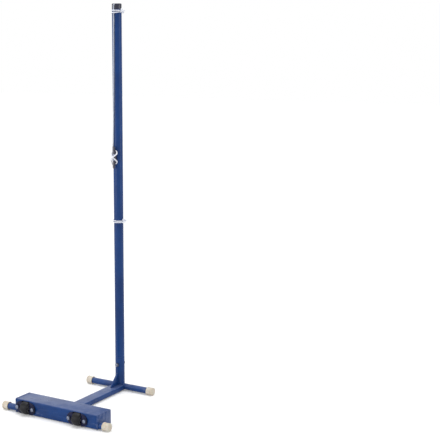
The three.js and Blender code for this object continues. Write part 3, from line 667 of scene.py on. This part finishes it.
# Distance round the upright from the knot, distance out from its turns, height from the knot's middle
KNOT_START = [
    (0.012, 0.0044, -0.007),
    (0.008, 0.0054, -0.0026),
    (0.0015, 0.0052, 0.0006),
    (-0.0045, 0.005, 0.0026),
    (-0.01, 0.0038, 0.0062),
    (-0.008, 0.0012, 0.0092),
    (-0.0015, 0.0002, 0.0082),
]
KNOT_END = [
    (0.001, 0.0001, -0.0027),
    (0.008, 0, -0.0036),
    (0.0146, 0.0005, -0.0046),
    (0.0204, 0.0038, -0.0034),
    (0.0184, 0.0064, 0.0016),
    (0.0115, 0.0088, 0.0032),
    (0.004, 0.0102, 0.0032),
    (-0.0035, 0.0103, 0.0026),
    (-0.0105, 0.0082, 0.0008),
    (-0.0146, 0.005, -0.004),
]


def cap_points():
    """The stretch of the tension cord that lies in the cap's groove, from the +Y side to the box side."""
    side = upright_radius + SEAT + TENSION_RADIUS
    top = post_top - TENSION_RADIUS - CORD_GAP
    half = [(0, side, upright_top + SEAT - 2 * CAP_BEND)]
    for step in range(CAP_BEND_STEPS + 1):
        angle = math.pi / 2 * step / CAP_BEND_STEPS
        y = side - CAP_BEND + CAP_BEND * math.cos(angle)
        z = top - CAP_BEND + CAP_BEND * math.sin(angle)
        half.append((0, y, z))
    return half + [(0, -y, z) for x, y, z in reversed(half)]


def tension_route():
    over = cap_points()
    loose_end = (0, over[0][1], TOP_TIE_HEIGHT - LOOSE_END_DROP)
    on_cleat = [(x, -out, CLEAT_HEIGHT + z) for x, out, z in CLEAT_TURNS]
    points = np.array([loose_end, *over, *on_cleat])
    points[:, 1] += upright_axis.y
    return smooth_route(points, TENSION_CURVE_STEPS)


def lift_share(angle, crossing):
    away = abs((angle - crossing + 180) % 360 - 180)
    return math.cos(away / LIFT_HALF_WIDTH * math.pi / 2) ** 2 if away < LIFT_HALF_WIDTH else 0


def tie_route(height, far_spread, crossings):
    """Two turns that lie side by side at the knot. The second sags away from the first behind the knot, and
    both are lifted over the cord that they cross at the angles in crossings."""
    base = upright_radius + SEAT + TIE_RADIUS
    lift = 2 * TENSION_RADIUS + CORD_GAP
    pitch = 2 * TIE_RADIUS + TIE_STRAND_GAP
    middle_turn = TIE_TURNS - 0.5

    def around(angle, out, z):
        lifted = lift * max([lift_share(angle, crossing) for crossing in crossings], default=0)
        reach = base + out + lifted
        turn = math.radians(angle)
        return (reach * math.cos(turn), upright_axis.y + reach * math.sin(turn), height + z)

    def knot(points):
        return [around(KNOT_ANGLE + math.degrees(round_it / base), out, z) for round_it, out, z in points]

    turns = []
    for step in range(1, TURN_STEPS * TIE_TURNS):
        turn = step / TURN_STEPS
        spread = far_spread * math.sin(math.pi * turn) ** 2 if turn > 1 else 0
        turns.append(around(KNOT_ANGLE + 360 * turn, 0, pitch * (middle_turn - turn) - spread))
    return smooth_route([*knot(KNOT_START), *turns, *knot(KNOT_END)], TIE_CURVE_STEPS)


def strand_height(across, along):
    """How proud a strand stands, from 0 to 1. It dips at both ends of its stretch on top."""
    top = 1 - DIP_SHARE + DIP_SHARE * np.sin(math.pi * (along % 1))
    return np.sin(math.pi * (across % 1)) ** STRAND_ROUNDNESS * top


def braid_height(across, along):
    """How proud the braid stands, from 0 to 1, at a place counted in strands across and along."""
    right, left = across + along, across - along
    right_on_top = (np.floor(right) + np.floor(left)) % 2 == 0
    return np.where(right_on_top, strand_height(right, left), strand_height(left, right))


def add_strand_map(mesh, sides, along, strand_length):
    """A map that counts strands across and along. Faces at the seam count on past the last side."""
    strand_map = mesh.uv_layers.new(name="strands")
    corner_vertices = np.empty(len(mesh.loops), int)
    mesh.loops.foreach_get("vertex_index", corner_vertices)
    ring, side = np.divmod(corner_vertices, sides)
    face_of = np.repeat(np.arange(len(mesh.polygons)), [len(face.vertices) for face in mesh.polygons])
    at_seam = np.zeros(len(mesh.polygons), bool)
    np.logical_or.at(at_seam, face_of, side == sides - 1)
    side = np.where(at_seam[face_of] & (side == 0), sides, side)
    coordinates = np.stack([side / STRAND_SIDES, along[ring] / strand_length], axis=1)
    strand_map.data.foreach_set("uv", coordinates.ravel())


def add_cord(name, path, radius, strands, spacing, finish, node):
    sides = STRAND_SIDES * strands
    path, along = even_steps(path, spacing)
    strand_length = 2 * math.pi * radius / strands
    around = np.arange(sides) / STRAND_SIDES
    height = braid_height(around[None, :], along[:, None] / strand_length)
    from_end = np.clip(np.minimum(along, along[-1] - along) / radius, 0, 1)
    tip = np.sqrt(np.clip(1 - (1 - from_end) ** 2, LEAST_TIP_SHARE, 1))
    radii = radius * (1 - BRAID_SHARE + BRAID_SHARE * height) * tip[:, None]
    mesh = skinned(name, tube_rings(path, radii))
    add_strand_map(mesh, sides, along, strand_length)
    place(name, mesh, finish, stands_for=node)


def add_cords():
    # The tension cord's finish has painted shade on its upper stretch
    tension = (TENSION_RADIUS, TENSION_STRANDS, TENSION_MESH_STEP, "shaded_cord")
    tie = (TIE_RADIUS, TIE_STRANDS, TIE_MESH_STEP, "white_cord")
    top = tie_route(TOP_TIE_HEIGHT, TOP_TIE_SPREAD, TENSION_CORD_ANGLES)
    lower = tie_route(LOWER_TIE_HEIGHT, LOWER_TIE_SPREAD, ())
    add_cord("tension_braid", tension_route(), *tension, "tension_cord")
    add_cord("top_tie_braid", top, *tie, "top_tie_cord")
    add_cord("lower_tie_braid", lower, *tie, "lower_tie_cord")


# Upright and its cap

TUBE_WALL = 0.002
TUBE_EDGE = 0.0006
CAP_EDGE = 0.004
CAP_PLUG_WALL = 0.003
CAP_HEIGHT = 0.021
SMALL_EDGE = 0.0004
GROOVE_SIDES = 24
GROOVE_CURVE_STEPS = 6


def upright_pipe(name, node):
    """A pipe of the upright's width, as tall as the node."""
    low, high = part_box(node)
    profile = pipe_profile(upright_radius, upright_radius - TUBE_WALL, low.z, high.z, TUBE_EDGE)
    return turned(name, profile, "Z", upright_axis)


def add_upright():
    mesh = upright_pipe("fine_upright", "upright_tube")
    place("fine_upright", mesh, "blue_paint", stands_for="upright_tube")


def add_cap():
    """A hollow plug under a rounded head, with a groove for the tension cord."""
    bottom = post_top - CAP_HEIGHT
    plug_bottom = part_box("top_cap")[0].z
    plug = upright_radius - TUBE_WALL - SEAT
    inside = plug - CAP_PLUG_WALL
    hollow = [(0, bottom), (inside, bottom), (inside, plug_bottom), (plug, plug_bottom), (plug, bottom)]
    head = [(upright_radius, bottom), (upright_radius, post_top), (0, post_top)]
    below = eased([*hollow, head[0]], SMALL_EDGE, loop=False)
    above = eased(head, CAP_EDGE, loop=False, steps=END_STEPS)
    cap = turned("fine_cap", below + above[1:], "Z", upright_axis, loop=False)
    groove_half = TENSION_RADIUS + SEAT
    route = np.array(cap_points())
    route[:, 1] += upright_axis.y
    route = smooth_route(route, GROOVE_CURVE_STEPS)
    groove = skinned("groove", tube_rings(route, np.full((len(route), GROOVE_SIDES), groove_half)))
    mouth_low = (-groove_half, upright_axis.y - upright_radius, post_top - TENSION_RADIUS - CORD_GAP)
    mouth_high = (groove_half, upright_axis.y + upright_radius, post_top + CAP_EDGE)
    mesh = carved(cap, groove, block(mouth_low, mouth_high))
    place("fine_cap", mesh, "black_plastic", stands_for="top_cap")


# Base: socket, stem, feet and their caps

FOOT_SIDES = 48
FOOT_CAP_SIDES = 64
FOOT_CAP_LIP = 0.0008
FOOT_CAP_LIP_LENGTH = 0.003
FOOT_CAP_END = 0.004
FOOT_CAP_EDGE = 0.003
STEM_CORNER = 0.003
STEM_INNER_CORNER = 0.0012
CORNER_STEPS = 6


def add_socket():
    """A pipe cut to stand on the front foot and over the stem."""
    tube = upright_pipe("socket_tube", "base_socket")
    reach = 2 * upright_radius
    rod = [(0, -reach), (fits_over_foot, -reach), (fits_over_foot, reach), (0, reach)]
    saddle = turned("saddle", rod, "X", foot_axis, loop=False)
    notch_low = (stem_low.x - SEAT, upright_axis.y - reach, 0)
    notch_high = (stem_high.x + SEAT, upright_axis.y, stem_high.z + SEAT)
    mesh = carved(tube, saddle, block(notch_low, notch_high))
    place("fine_socket", mesh, "blue_paint", stands_for="base_socket")


def rounded_rectangle(low, high, radius):
    """Points round a rectangle with rounded corners, as (across, up) pairs."""
    corners = [(high[0], high[1]), (low[0], high[1]), (low[0], low[1]), (high[0], low[1])]
    points = []
    for quarter, (x, z) in enumerate(corners):
        inward = (-1 if x == high[0] else 1, -1 if z == high[1] else 1)
        for step in range(CORNER_STEPS + 1):
            angle = math.pi / 2 * (quarter + step / CORNER_STEPS)
            across = x + inward[0] * radius + radius * math.cos(angle)
            up = z + inward[1] * radius + radius * math.sin(angle)
            points.append((across, up))
    return points


def add_stem():
    """A rectangular tube, cut at its front end to fit round the front foot."""

    def ring(inset, corner, at_foot):
        low = (stem_low.x + inset, stem_low.z + inset)
        high = (stem_high.x - inset, stem_high.z - inset)
        points = []
        for x, z in rounded_rectangle(low, high, corner):
            rise = z - foot_axis.z
            front = foot_axis.y - math.sqrt(max(0, fits_over_foot**2 - rise**2))
            points.append((x, front if at_foot else stem_low.y, z))
        return points

    outer = (0, STEM_CORNER)
    inner = (TUBE_WALL, STEM_INNER_CORNER)
    rings = [ring(*outer, False), ring(*outer, True), ring(*inner, True), ring(*inner, False)]
    mesh = skinned("fine_stem", rings, loop=True)
    place("fine_stem", mesh, "blue_paint", stands_for="stem")


def add_feet():
    for node in ("front_foot_tube", "rear_foot_left", "rear_foot_right"):
        low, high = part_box(node)
        radius = (high.z - low.z) / 2
        profile = pipe_profile(radius, radius - TUBE_WALL, low.x, high.x, TUBE_EDGE)
        turned_piece(node, profile, "X", "blue_paint", sides=FOOT_SIDES)


def add_foot_cap(node, side):
    """A soft cap with a lip at its mouth and one before its rounded end."""
    low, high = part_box(node)
    mouth, end = (low.x, high.x) if side > 0 else (high.x, low.x)
    radius = (high.z - low.z) / 2
    body = radius - FOOT_CAP_LIP
    inner_end = end - side * FOOT_CAP_END
    lip_end = mouth + side * FOOT_CAP_LIP_LENGTH
    mouth_lip = [(fits_over_foot, mouth), (radius, mouth), (radius, lip_end)]
    waist = [(body, lip_end + side * FOOT_CAP_LIP), (body, inner_end - side * FOOT_CAP_LIP)]
    outside = [*mouth_lip, *waist, (radius, inner_end)]
    dome = eased([(radius, inner_end), (radius, end), (0, end)], FOOT_CAP_EDGE, loop=False, steps=END_STEPS)
    inside = [(0, inner_end), (fits_over_foot, inner_end)]
    profile = [*inside, *eased(outside, SMALL_EDGE, loop=False), *dome[1:]]
    turned_piece(node, profile, "X", "cream_plastic", loop=False, sides=FOOT_CAP_SIDES)


def add_foot_caps():
    for row in ("front", "rear"):
        for side, name in SIDES:
            add_foot_cap(f"{row}_foot_cap_{name}", side)


# Wheels

TYRE_THICKNESS = 0.008
TREAD_CROWN = 0.0025
CROWN_STEPS = 16
HUB_RIM_WALL = 0.003
HUB_BOSS_RADIUS = 0.008
HUB_WEB = 0.005
AXLE_RADIUS = 0.003
AXLE_HEAD = 0.002
AXLE_HEAD_EDGE = 0.0008
AXLE_SIDES = 40
WHEEL_FILLET = 0.0012


def add_tyre(side):
    node = f"wheel_tyre_{side}"
    low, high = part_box(node)
    centre = middle(node)
    radius, half = (high.z - low.z) / 2, (high.x - low.x) / 2
    bore = radius - TYRE_THICKNESS + SEAT
    tread = []
    for step in range(CROWN_STEPS + 1):
        share = 2 * step / CROWN_STEPS - 1
        tread.append((radius - TREAD_CROWN * share**2, centre.x + share * (half - TREAD_CROWN)))
    shoulder = radius - 2 * TREAD_CROWN
    profile = [(bore, low.x), (shoulder, low.x), *tread, (shoulder, high.x), (bore, high.x)]
    turned_piece(node, eased(profile, WHEEL_FILLET), "X", "tyre", f"wheel_{side}")


def add_hub(side):
    """A rim and a boss joined by a thin web."""
    node = f"wheel_hub_{side}"
    low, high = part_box(node)
    centre = middle(node)
    radius, boss = (high.z - low.z) / 2, (high.x - low.x) / 2
    half = extent(f"wheel_tyre_{side}").x / 2
    rim, web, bore = radius - HUB_RIM_WALL, HUB_WEB / 2, AXLE_RADIUS + SEAT
    face = [(bore, boss), (HUB_BOSS_RADIUS, boss), (HUB_BOSS_RADIUS, web)]
    face += [(rim, web), (rim, half), (radius, half)]
    other_face = [(r, -x) for r, x in reversed(face)]
    profile = [(r, centre.x + x) for r, x in face + other_face]
    turned_piece(node, eased(profile, WHEEL_FILLET), "X", "grey_nylon", f"wheel_{side}")


def add_axle(side):
    node = f"wheel_axle_{side}"
    low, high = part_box(node)
    head_radius = (high.z - low.z) / 2
    under_head = high.x - AXLE_HEAD
    shank = [(0, low.x), (AXLE_RADIUS, low.x), (AXLE_RADIUS, under_head), (head_radius, under_head)]
    profile = eased([*shank, (head_radius, high.x), (0, high.x)], AXLE_HEAD_EDGE, loop=False)
    turned_piece(node, profile, "X", "zinc_steel", loop=False, sides=AXLE_SIDES)


def add_axle_clip(side):
    node = f"wheel_axle_clip_{side}"
    low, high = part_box(node)
    profile = pipe_profile((high.z - low.z) / 2, AXLE_RADIUS + SEAT, low.x, high.x, SMALL_EDGE)
    turned_piece(node, profile, "X", "zinc_steel", sides=AXLE_SIDES)


# M8 fasteners, all along Y

BOLT_RADIUS = 0.004
BOLT_HEAD = 0.0053
BOLT_TIP_RADIUS = 0.0032
THREAD_PITCH = 0.00125
THREAD_DEPTH = 0.0006
THREAD_STEPS = 6
FACE_SHARE = 0.93
CHAMFER_SLOPE = math.tan(math.radians(30))
CHAMFER_STEPS = 6
WASHER_SIDES = 48
SIXTH = math.pi / 3


def hexagon(flats):
    """Limits a turned form to a hexagon with corners up and down."""

    def shape(angles, radius, height):
        return np.minimum(radius, flats / 2 / np.cos(angles % SIXTH - SIXTH / 2))

    return shape


def chamfer(flats, corner, face_at, inward):
    """The cone between a head's round face and the hexagon's corners. Inward is the sign of the way in."""
    face = FACE_SHARE * flats / 2
    radii = np.linspace(face, corner, CHAMFER_STEPS)
    return [(radius, face_at + inward * CHAMFER_SLOPE * (radius - face)) for radius in radii]


def add_bolt(node):
    low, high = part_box(node)
    flats = high.x - low.x
    corner = flats / 2 / math.cos(SIXTH / 2)
    under_head = low.y + BOLT_HEAD
    outline = hexagon(flats)

    def shape(angles, radius, height):
        if height <= under_head + MERGE:
            return outline(angles, radius, height)
        turn = (height / THREAD_PITCH - angles / (2 * math.pi)) % 1
        return radius - THREAD_DEPTH * np.abs(2 * turn - 1) * (radius > 0)

    head = [(0, low.y), *chamfer(flats, corner, low.y, 1), (corner, under_head), (BOLT_RADIUS, under_head)]
    steps = math.ceil((high.y - under_head) / THREAD_PITCH * THREAD_STEPS)
    thread = [(BOLT_RADIUS, y) for y in np.linspace(under_head + SEAT, high.y - THREAD_PITCH / 2, steps)]
    profile = [*head, *thread, (BOLT_TIP_RADIUS, high.y), (0, high.y)]
    turned_piece(node, profile, "Y", "zinc_steel", loop=False, shape=shape)


def add_nut(node):
    low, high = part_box(node)
    flats = high.x - low.x
    corner = flats / 2 / math.cos(SIXTH / 2)
    bore = BOLT_RADIUS + SEAT
    near, far = chamfer(flats, corner, low.y, 1), chamfer(flats, corner, high.y, -1)
    profile = [(bore, low.y), *near, *reversed(far), (bore, high.y)]
    turned_piece(node, profile, "Y", "dark_zinc", shape=hexagon(flats))


def add_washer(node):
    low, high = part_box(node)
    profile = pipe_profile((high.z - low.z) / 2, BOLT_RADIUS + SEAT, low.y, high.y, SMALL_EDGE)
    turned_piece(node, profile, "Y", "dark_zinc", sides=WASHER_SIDES)


def add_fasteners():
    for node in sorted(nodes):
        if "washer" in node:
            add_washer(node)
        elif "nut" in node:
            add_nut(node)
        elif "bolt" in node:
            add_bolt(node)


# Cleat

CLEAT_GRAIN = 0.0006
MELT_ROUNDS = 8


def add_cleat():
    """The moulded cleat: the node's form with its edges melted round."""
    copy = add_object("cleat_copy", nodes["cord_cleat"].data.copy())
    remesh = copy.modifiers.new("remesh", "REMESH")
    remesh.mode = "VOXEL"
    remesh.voxel_size = CLEAT_GRAIN
    melt = copy.modifiers.new("melt", "SMOOTH")
    melt.iterations = MELT_ROUNDS
    mesh = bpy.data.meshes.new_from_object(copy.evaluated_get(bpy.context.evaluated_depsgraph_get()))
    bpy.data.objects.remove(copy)
    mesh.shade_smooth()
    place("fine_cleat", mesh, "black_plastic", stands_for="cord_cleat")


# Edges of flat parts

BALLAST_EDGE = 0.0008
SOFT_EDGES = {
    "gusset": 0.0006,
    "weight_box_cover": 0.0004,
    "weight_box_end_left": 0.0006,
    "weight_box_end_right": 0.0006,
    "weight_box_floor": 0.0004,
    "wheel_bracket_left": 0.0005,
    "wheel_bracket_right": 0.0005,
    "cleat_screw_lower": 0.00015,
    "cleat_screw_upper": 0.00015,
}


def add_flat_parts():
    """The box's end plates are the most knocked about, so they have a scuffed finish; its lighter grey is
    partly wear and partly a painted reflection.
    """
    for node, width in SOFT_EDGES.items():
        finish = "scuffed_and_sheen_paint" if node.startswith("weight_box_end") else slot_of[node]
        add_softened(node, width, finish)
    for node in sorted(nodes):
        if node.startswith("ballast"):
            add_softened(node, BALLAST_EDGE, "cast_ballast")


# Welds

WELD_SIDES = 12
WELD_RIPPLE = 0.0019
RIPPLE_STEPS = 5
RIPPLE_SHARE = 0.16
RIPPLE_BOW = 0.2
SWELL_SHARE = 0.05
SWELL_STEPS = 8
LEAST_END_SHARE = 0.05
SOCKET_WELD = 0.0017
STEM_BOX_WELD = 0.0016
STEM_FOOT_WELD = 0.0015
GUSSET_WELD = 0.0014
GUSSET_WELD_SHARE = 1.12
REAR_FOOT_WELD = 0.0014
RING_POINTS = 60
BOX_SEAM = 0.0008
BOX_FOLD = 0.004
SADDLE_START = 0.1  # radians
SADDLE_POINTS = 30
OVER_STEM_POINTS = 40
STEM_FOOT_POINTS = 20


def add_weld(name, path, radius, closed=False):
    """A rippled bead along the path, with small uneven swellings."""
    if closed:
        path = np.vstack([path, path[:1]])
    path, along = even_steps(np.array(path, float), WELD_RIPPLE / RIPPLE_STEPS)
    if closed:
        path, along = path[:-1], along[:-1]
    count = len(path)
    uneven = np.random.default_rng(count).normal(0, SWELL_SHARE, count // SWELL_STEPS + 2)
    swell = np.interp(np.arange(count) / SWELL_STEPS, np.arange(len(uneven)), uneven)
    if closed:
        swell *= np.sin(np.linspace(0, math.pi, count))
    angles = np.linspace(0, 2 * math.pi, WELD_SIDES, endpoint=False)
    phase = along[:, None] / WELD_RIPPLE + RIPPLE_BOW * np.cos(2 * angles)[None, :]
    ripple = 1 - RIPPLE_SHARE + RIPPLE_SHARE * np.abs(np.sin(math.pi * phase))
    radii = radius * (1 + swell[:, None]) * ripple
    if not closed:
        from_end = np.minimum(along, along[-1] - along)
        radii *= np.sqrt(np.clip(from_end / radius, LEAST_END_SHARE, 1))[:, None]
    mesh = skinned(name, tube_rings(path, radii, closed), loop=closed)
    piece = place(name, mesh, "blue_paint")


def foot_reach(z):
    """How far the front foot's surface is from its axis along Y, at the height z."""
    return math.sqrt(foot_radius**2 - (z - foot_axis.z) ** 2)


def add_socket_weld():
    """One bead: over the foot on one side, along the stem's top, and over the foot on the other side."""
    over_top = math.pi - math.asin((stem_high.z - foot_axis.z) / foot_radius)
    saddle = []
    for angle in np.linspace(SADDLE_START, over_top, SADDLE_POINTS):
        y = foot_radius * math.cos(angle)
        saddle.append((math.sqrt(upright_radius**2 - y**2), y, foot_radius * math.sin(angle) + foot_axis.z))
    over_stem = []
    start = math.asin(foot_reach(stem_high.z) / upright_radius)
    for angle in np.linspace(start, math.pi - start, OVER_STEM_POINTS)[1:-1]:
        over_stem.append((upright_radius * math.cos(angle), -upright_radius * math.sin(angle), stem_high.z))
    other = [(-x, y, z) for x, y, z in reversed(saddle)]
    path = np.array([*saddle, *over_stem, *other])
    path[:, 1] += upright_axis.y
    add_weld("weld_socket", path, SOCKET_WELD)


def add_gusset_welds(side, name):
    low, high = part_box("gusset")
    x = side * (high.x - low.x) / 2 * GUSSET_WELD_SHARE
    up_the_socket = [(x, high.y, low.z), (x, high.y, high.z)]
    along_the_stem = [(x, high.y, low.z), (x, low.y, low.z)]
    add_weld(f"weld_gusset_upright_{name}", up_the_socket, GUSSET_WELD)
    add_weld(f"weld_gusset_stem_{name}", along_the_stem, GUSSET_WELD)


def add_stem_foot_weld(side, name):
    heights = np.linspace(stem_low.z + STEM_CORNER, stem_high.z, STEM_FOOT_POINTS)
    path = [(side * stem_high.x, foot_axis.y - foot_reach(z), z) for z in heights]
    path.append((side * upright_radius, foot_axis.y - foot_reach(stem_high.z), stem_high.z))
    add_weld(f"weld_stem_foot_{name}", path, STEM_FOOT_WELD)


def add_stem_box_weld():
    collar = rounded_rectangle((stem_low.x, stem_low.z), (stem_high.x, stem_high.z), STEM_CORNER)
    on_cover = [(x, box_high.y, z) for x, z in collar if z > box_low.z]
    path = sorted(on_cover, key=lambda point: math.atan2(point[2] - foot_axis.z, point[0]))
    add_weld("weld_stem_box", path, STEM_BOX_WELD)


def add_rear_foot_welds():
    radius = extent("rear_foot_left").z / 2
    ends = (("left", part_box("weight_box_end_left")[0].x), ("right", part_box("weight_box_end_right")[1].x))
    for name, x in ends:
        centre = middle(f"rear_foot_{name}")
        ring = []
        for angle in np.linspace(0, 2 * math.pi, RING_POINTS, endpoint=False):
            ring.append((x, centre.y + radius * math.cos(angle), centre.z + radius * math.sin(angle)))
        add_weld(f"weld_rear_foot_{name}", ring, REAR_FOOT_WELD, closed=True)


def add_box_seams():
    for name, x in (("left", box_low.x), ("right", box_high.x)):
        outline = rounded_rectangle((box_low.y, box_low.z - BOX_FOLD), (box_high.y, box_high.z), BOX_FOLD)
        seam = [(x, y, z) for y, z in outline if z > box_low.z]
        path = [(x, box_high.y, box_low.z), *seam, (x, box_low.y, box_low.z)]
        add_weld(f"weld_box_seam_{name}", path, BOX_SEAM)


def add_welds():
    add_socket_weld()
    for side, name in SIDES:
        add_gusset_welds(side, name)
        add_stem_foot_weld(side, name)
    add_stem_box_weld()
    add_rear_foot_welds()
    add_box_seams()


# Room: white floor and backdrop, soft lamps

WHITE = (1, 1, 1, 1)
FLOOR_GREY = (0.8, 0.8, 0.8, 1)
FLOOR_SIZE = 40
GLOW_NEAR = 0.19
GLOW_FAR = 0.47
GLOW_GROWS_FROM = 0.8
GLOW_GROWS_TO = 3.0
ROOM_LIGHT = 0.71

# One lamp overhead and two tall strips, whose reflections run down the upright and its cap.
# Name, place, height it is aimed at on the upright, width, height, power
LAMPS = (
    ("top_lamp", (-0.4, 0.2, 4.2), 0.6, 3.0, 3.0, 95),
    ("left_lamp", (-1.87, -3.3, 1.3), 1.3, 2.8, 2.4, 54),
    ("right_lamp", (3.47, 0.7, 1.3), 1.3, 0.9, 2.4, 24),
)


def seen_directly(tree):
    """1 for what the camera, a reflection or glass sees, 0 for the light that falls on the post."""
    path = tree.nodes.new("ShaderNodeLightPath")
    total = path.outputs["Is Camera Ray"]
    for name in ("Is Glossy Ray", "Is Transmission Ray"):
        either = tree.nodes.new("ShaderNodeMath")
        either.operation = "MAXIMUM"
        tree.links.new(total, either.inputs[0])
        tree.links.new(path.outputs[name], either.inputs[1])
        total = either.outputs[0]
    return total


def floor_material():
    """White, with a glow that grows away from the post, where less of the lamps' light falls."""
    shader = Shader("white_floor", Roughness=0.9, Specular_IOR_Level=0.1, Emission_Color=WHITE)
    shader.colour(FLOOR_GREY)
    distance = shader.node("ShaderNodeVectorMath", operation="LENGTH")
    shader.join(shader.position, distance.inputs[0])
    growth = shader.remap(distance.outputs["Value"], GLOW_GROWS_FROM, GLOW_GROWS_TO, GLOW_NEAR, GLOW_FAR)
    growth.node.interpolation_type = "SMOOTHSTEP"
    glow = shader.maths("MULTIPLY", seen_directly(shader.tree), growth)
    shader.fill(shader.surface, Emission_Strength=glow)
    return shader.material


def add_floor():
    half = FLOOR_SIZE / 2
    corners = [(-half, -half, 0), (half, -half, 0), (half, half, 0), (-half, half, 0)]
    mesh = bpy.data.meshes.new("floor")
    mesh.from_pydata(corners, [], [(0, 1, 2, 3)])
    mesh.materials.append(floor_material())
    floor = add_object("floor", mesh)


def add_world():
    world = bpy.data.worlds.new("white_room")
    scene.world = world
    world.use_nodes = True
    tree = world.node_tree
    background = tree.nodes["Background"]
    background.inputs["Color"].default_value = WHITE
    level = tree.nodes.new("ShaderNodeMapRange")
    tree.links.new(seen_directly(tree), level.inputs["Value"])
    level.inputs["To Min"].default_value = ROOM_LIGHT
    level.inputs["To Max"].default_value = 1
    tree.links.new(level.outputs["Result"], background.inputs["Strength"])


def add_soft_lamp(name, position, aim, width, height, power):
    data = bpy.data.lights.new(name, "AREA")
    data.shape = "RECTANGLE"
    data.size = width
    data.size_y = height
    data.energy = power
    lamp = add_object(name, data)
    lamp.location = position
    direction = Vector(aim) - Vector(position)
    lamp.rotation_euler = direction.to_track_quat("-Z", "Y").to_euler()
    lamp.visible_camera = False


def add_lamps():
    for name, position, aim_height, width, height, power in LAMPS:
        add_soft_lamp(name, position, (0, upright_axis.y, aim_height), width, height, power)


add_camera()
dress_frame_nodes()
add_cords()
add_upright()
add_cap()
add_socket()
add_stem()
add_feet()
add_foot_caps()
for wheel in ("left", "right"):
    add_tyre(wheel)
    add_hub(wheel)
    add_axle(wheel)
    add_axle_clip(wheel)
add_fasteners()
add_cleat()
add_flat_parts()
add_welds()
add_floor()
add_world()
add_lamps()

scene.view_settings.view_transform = "Standard"
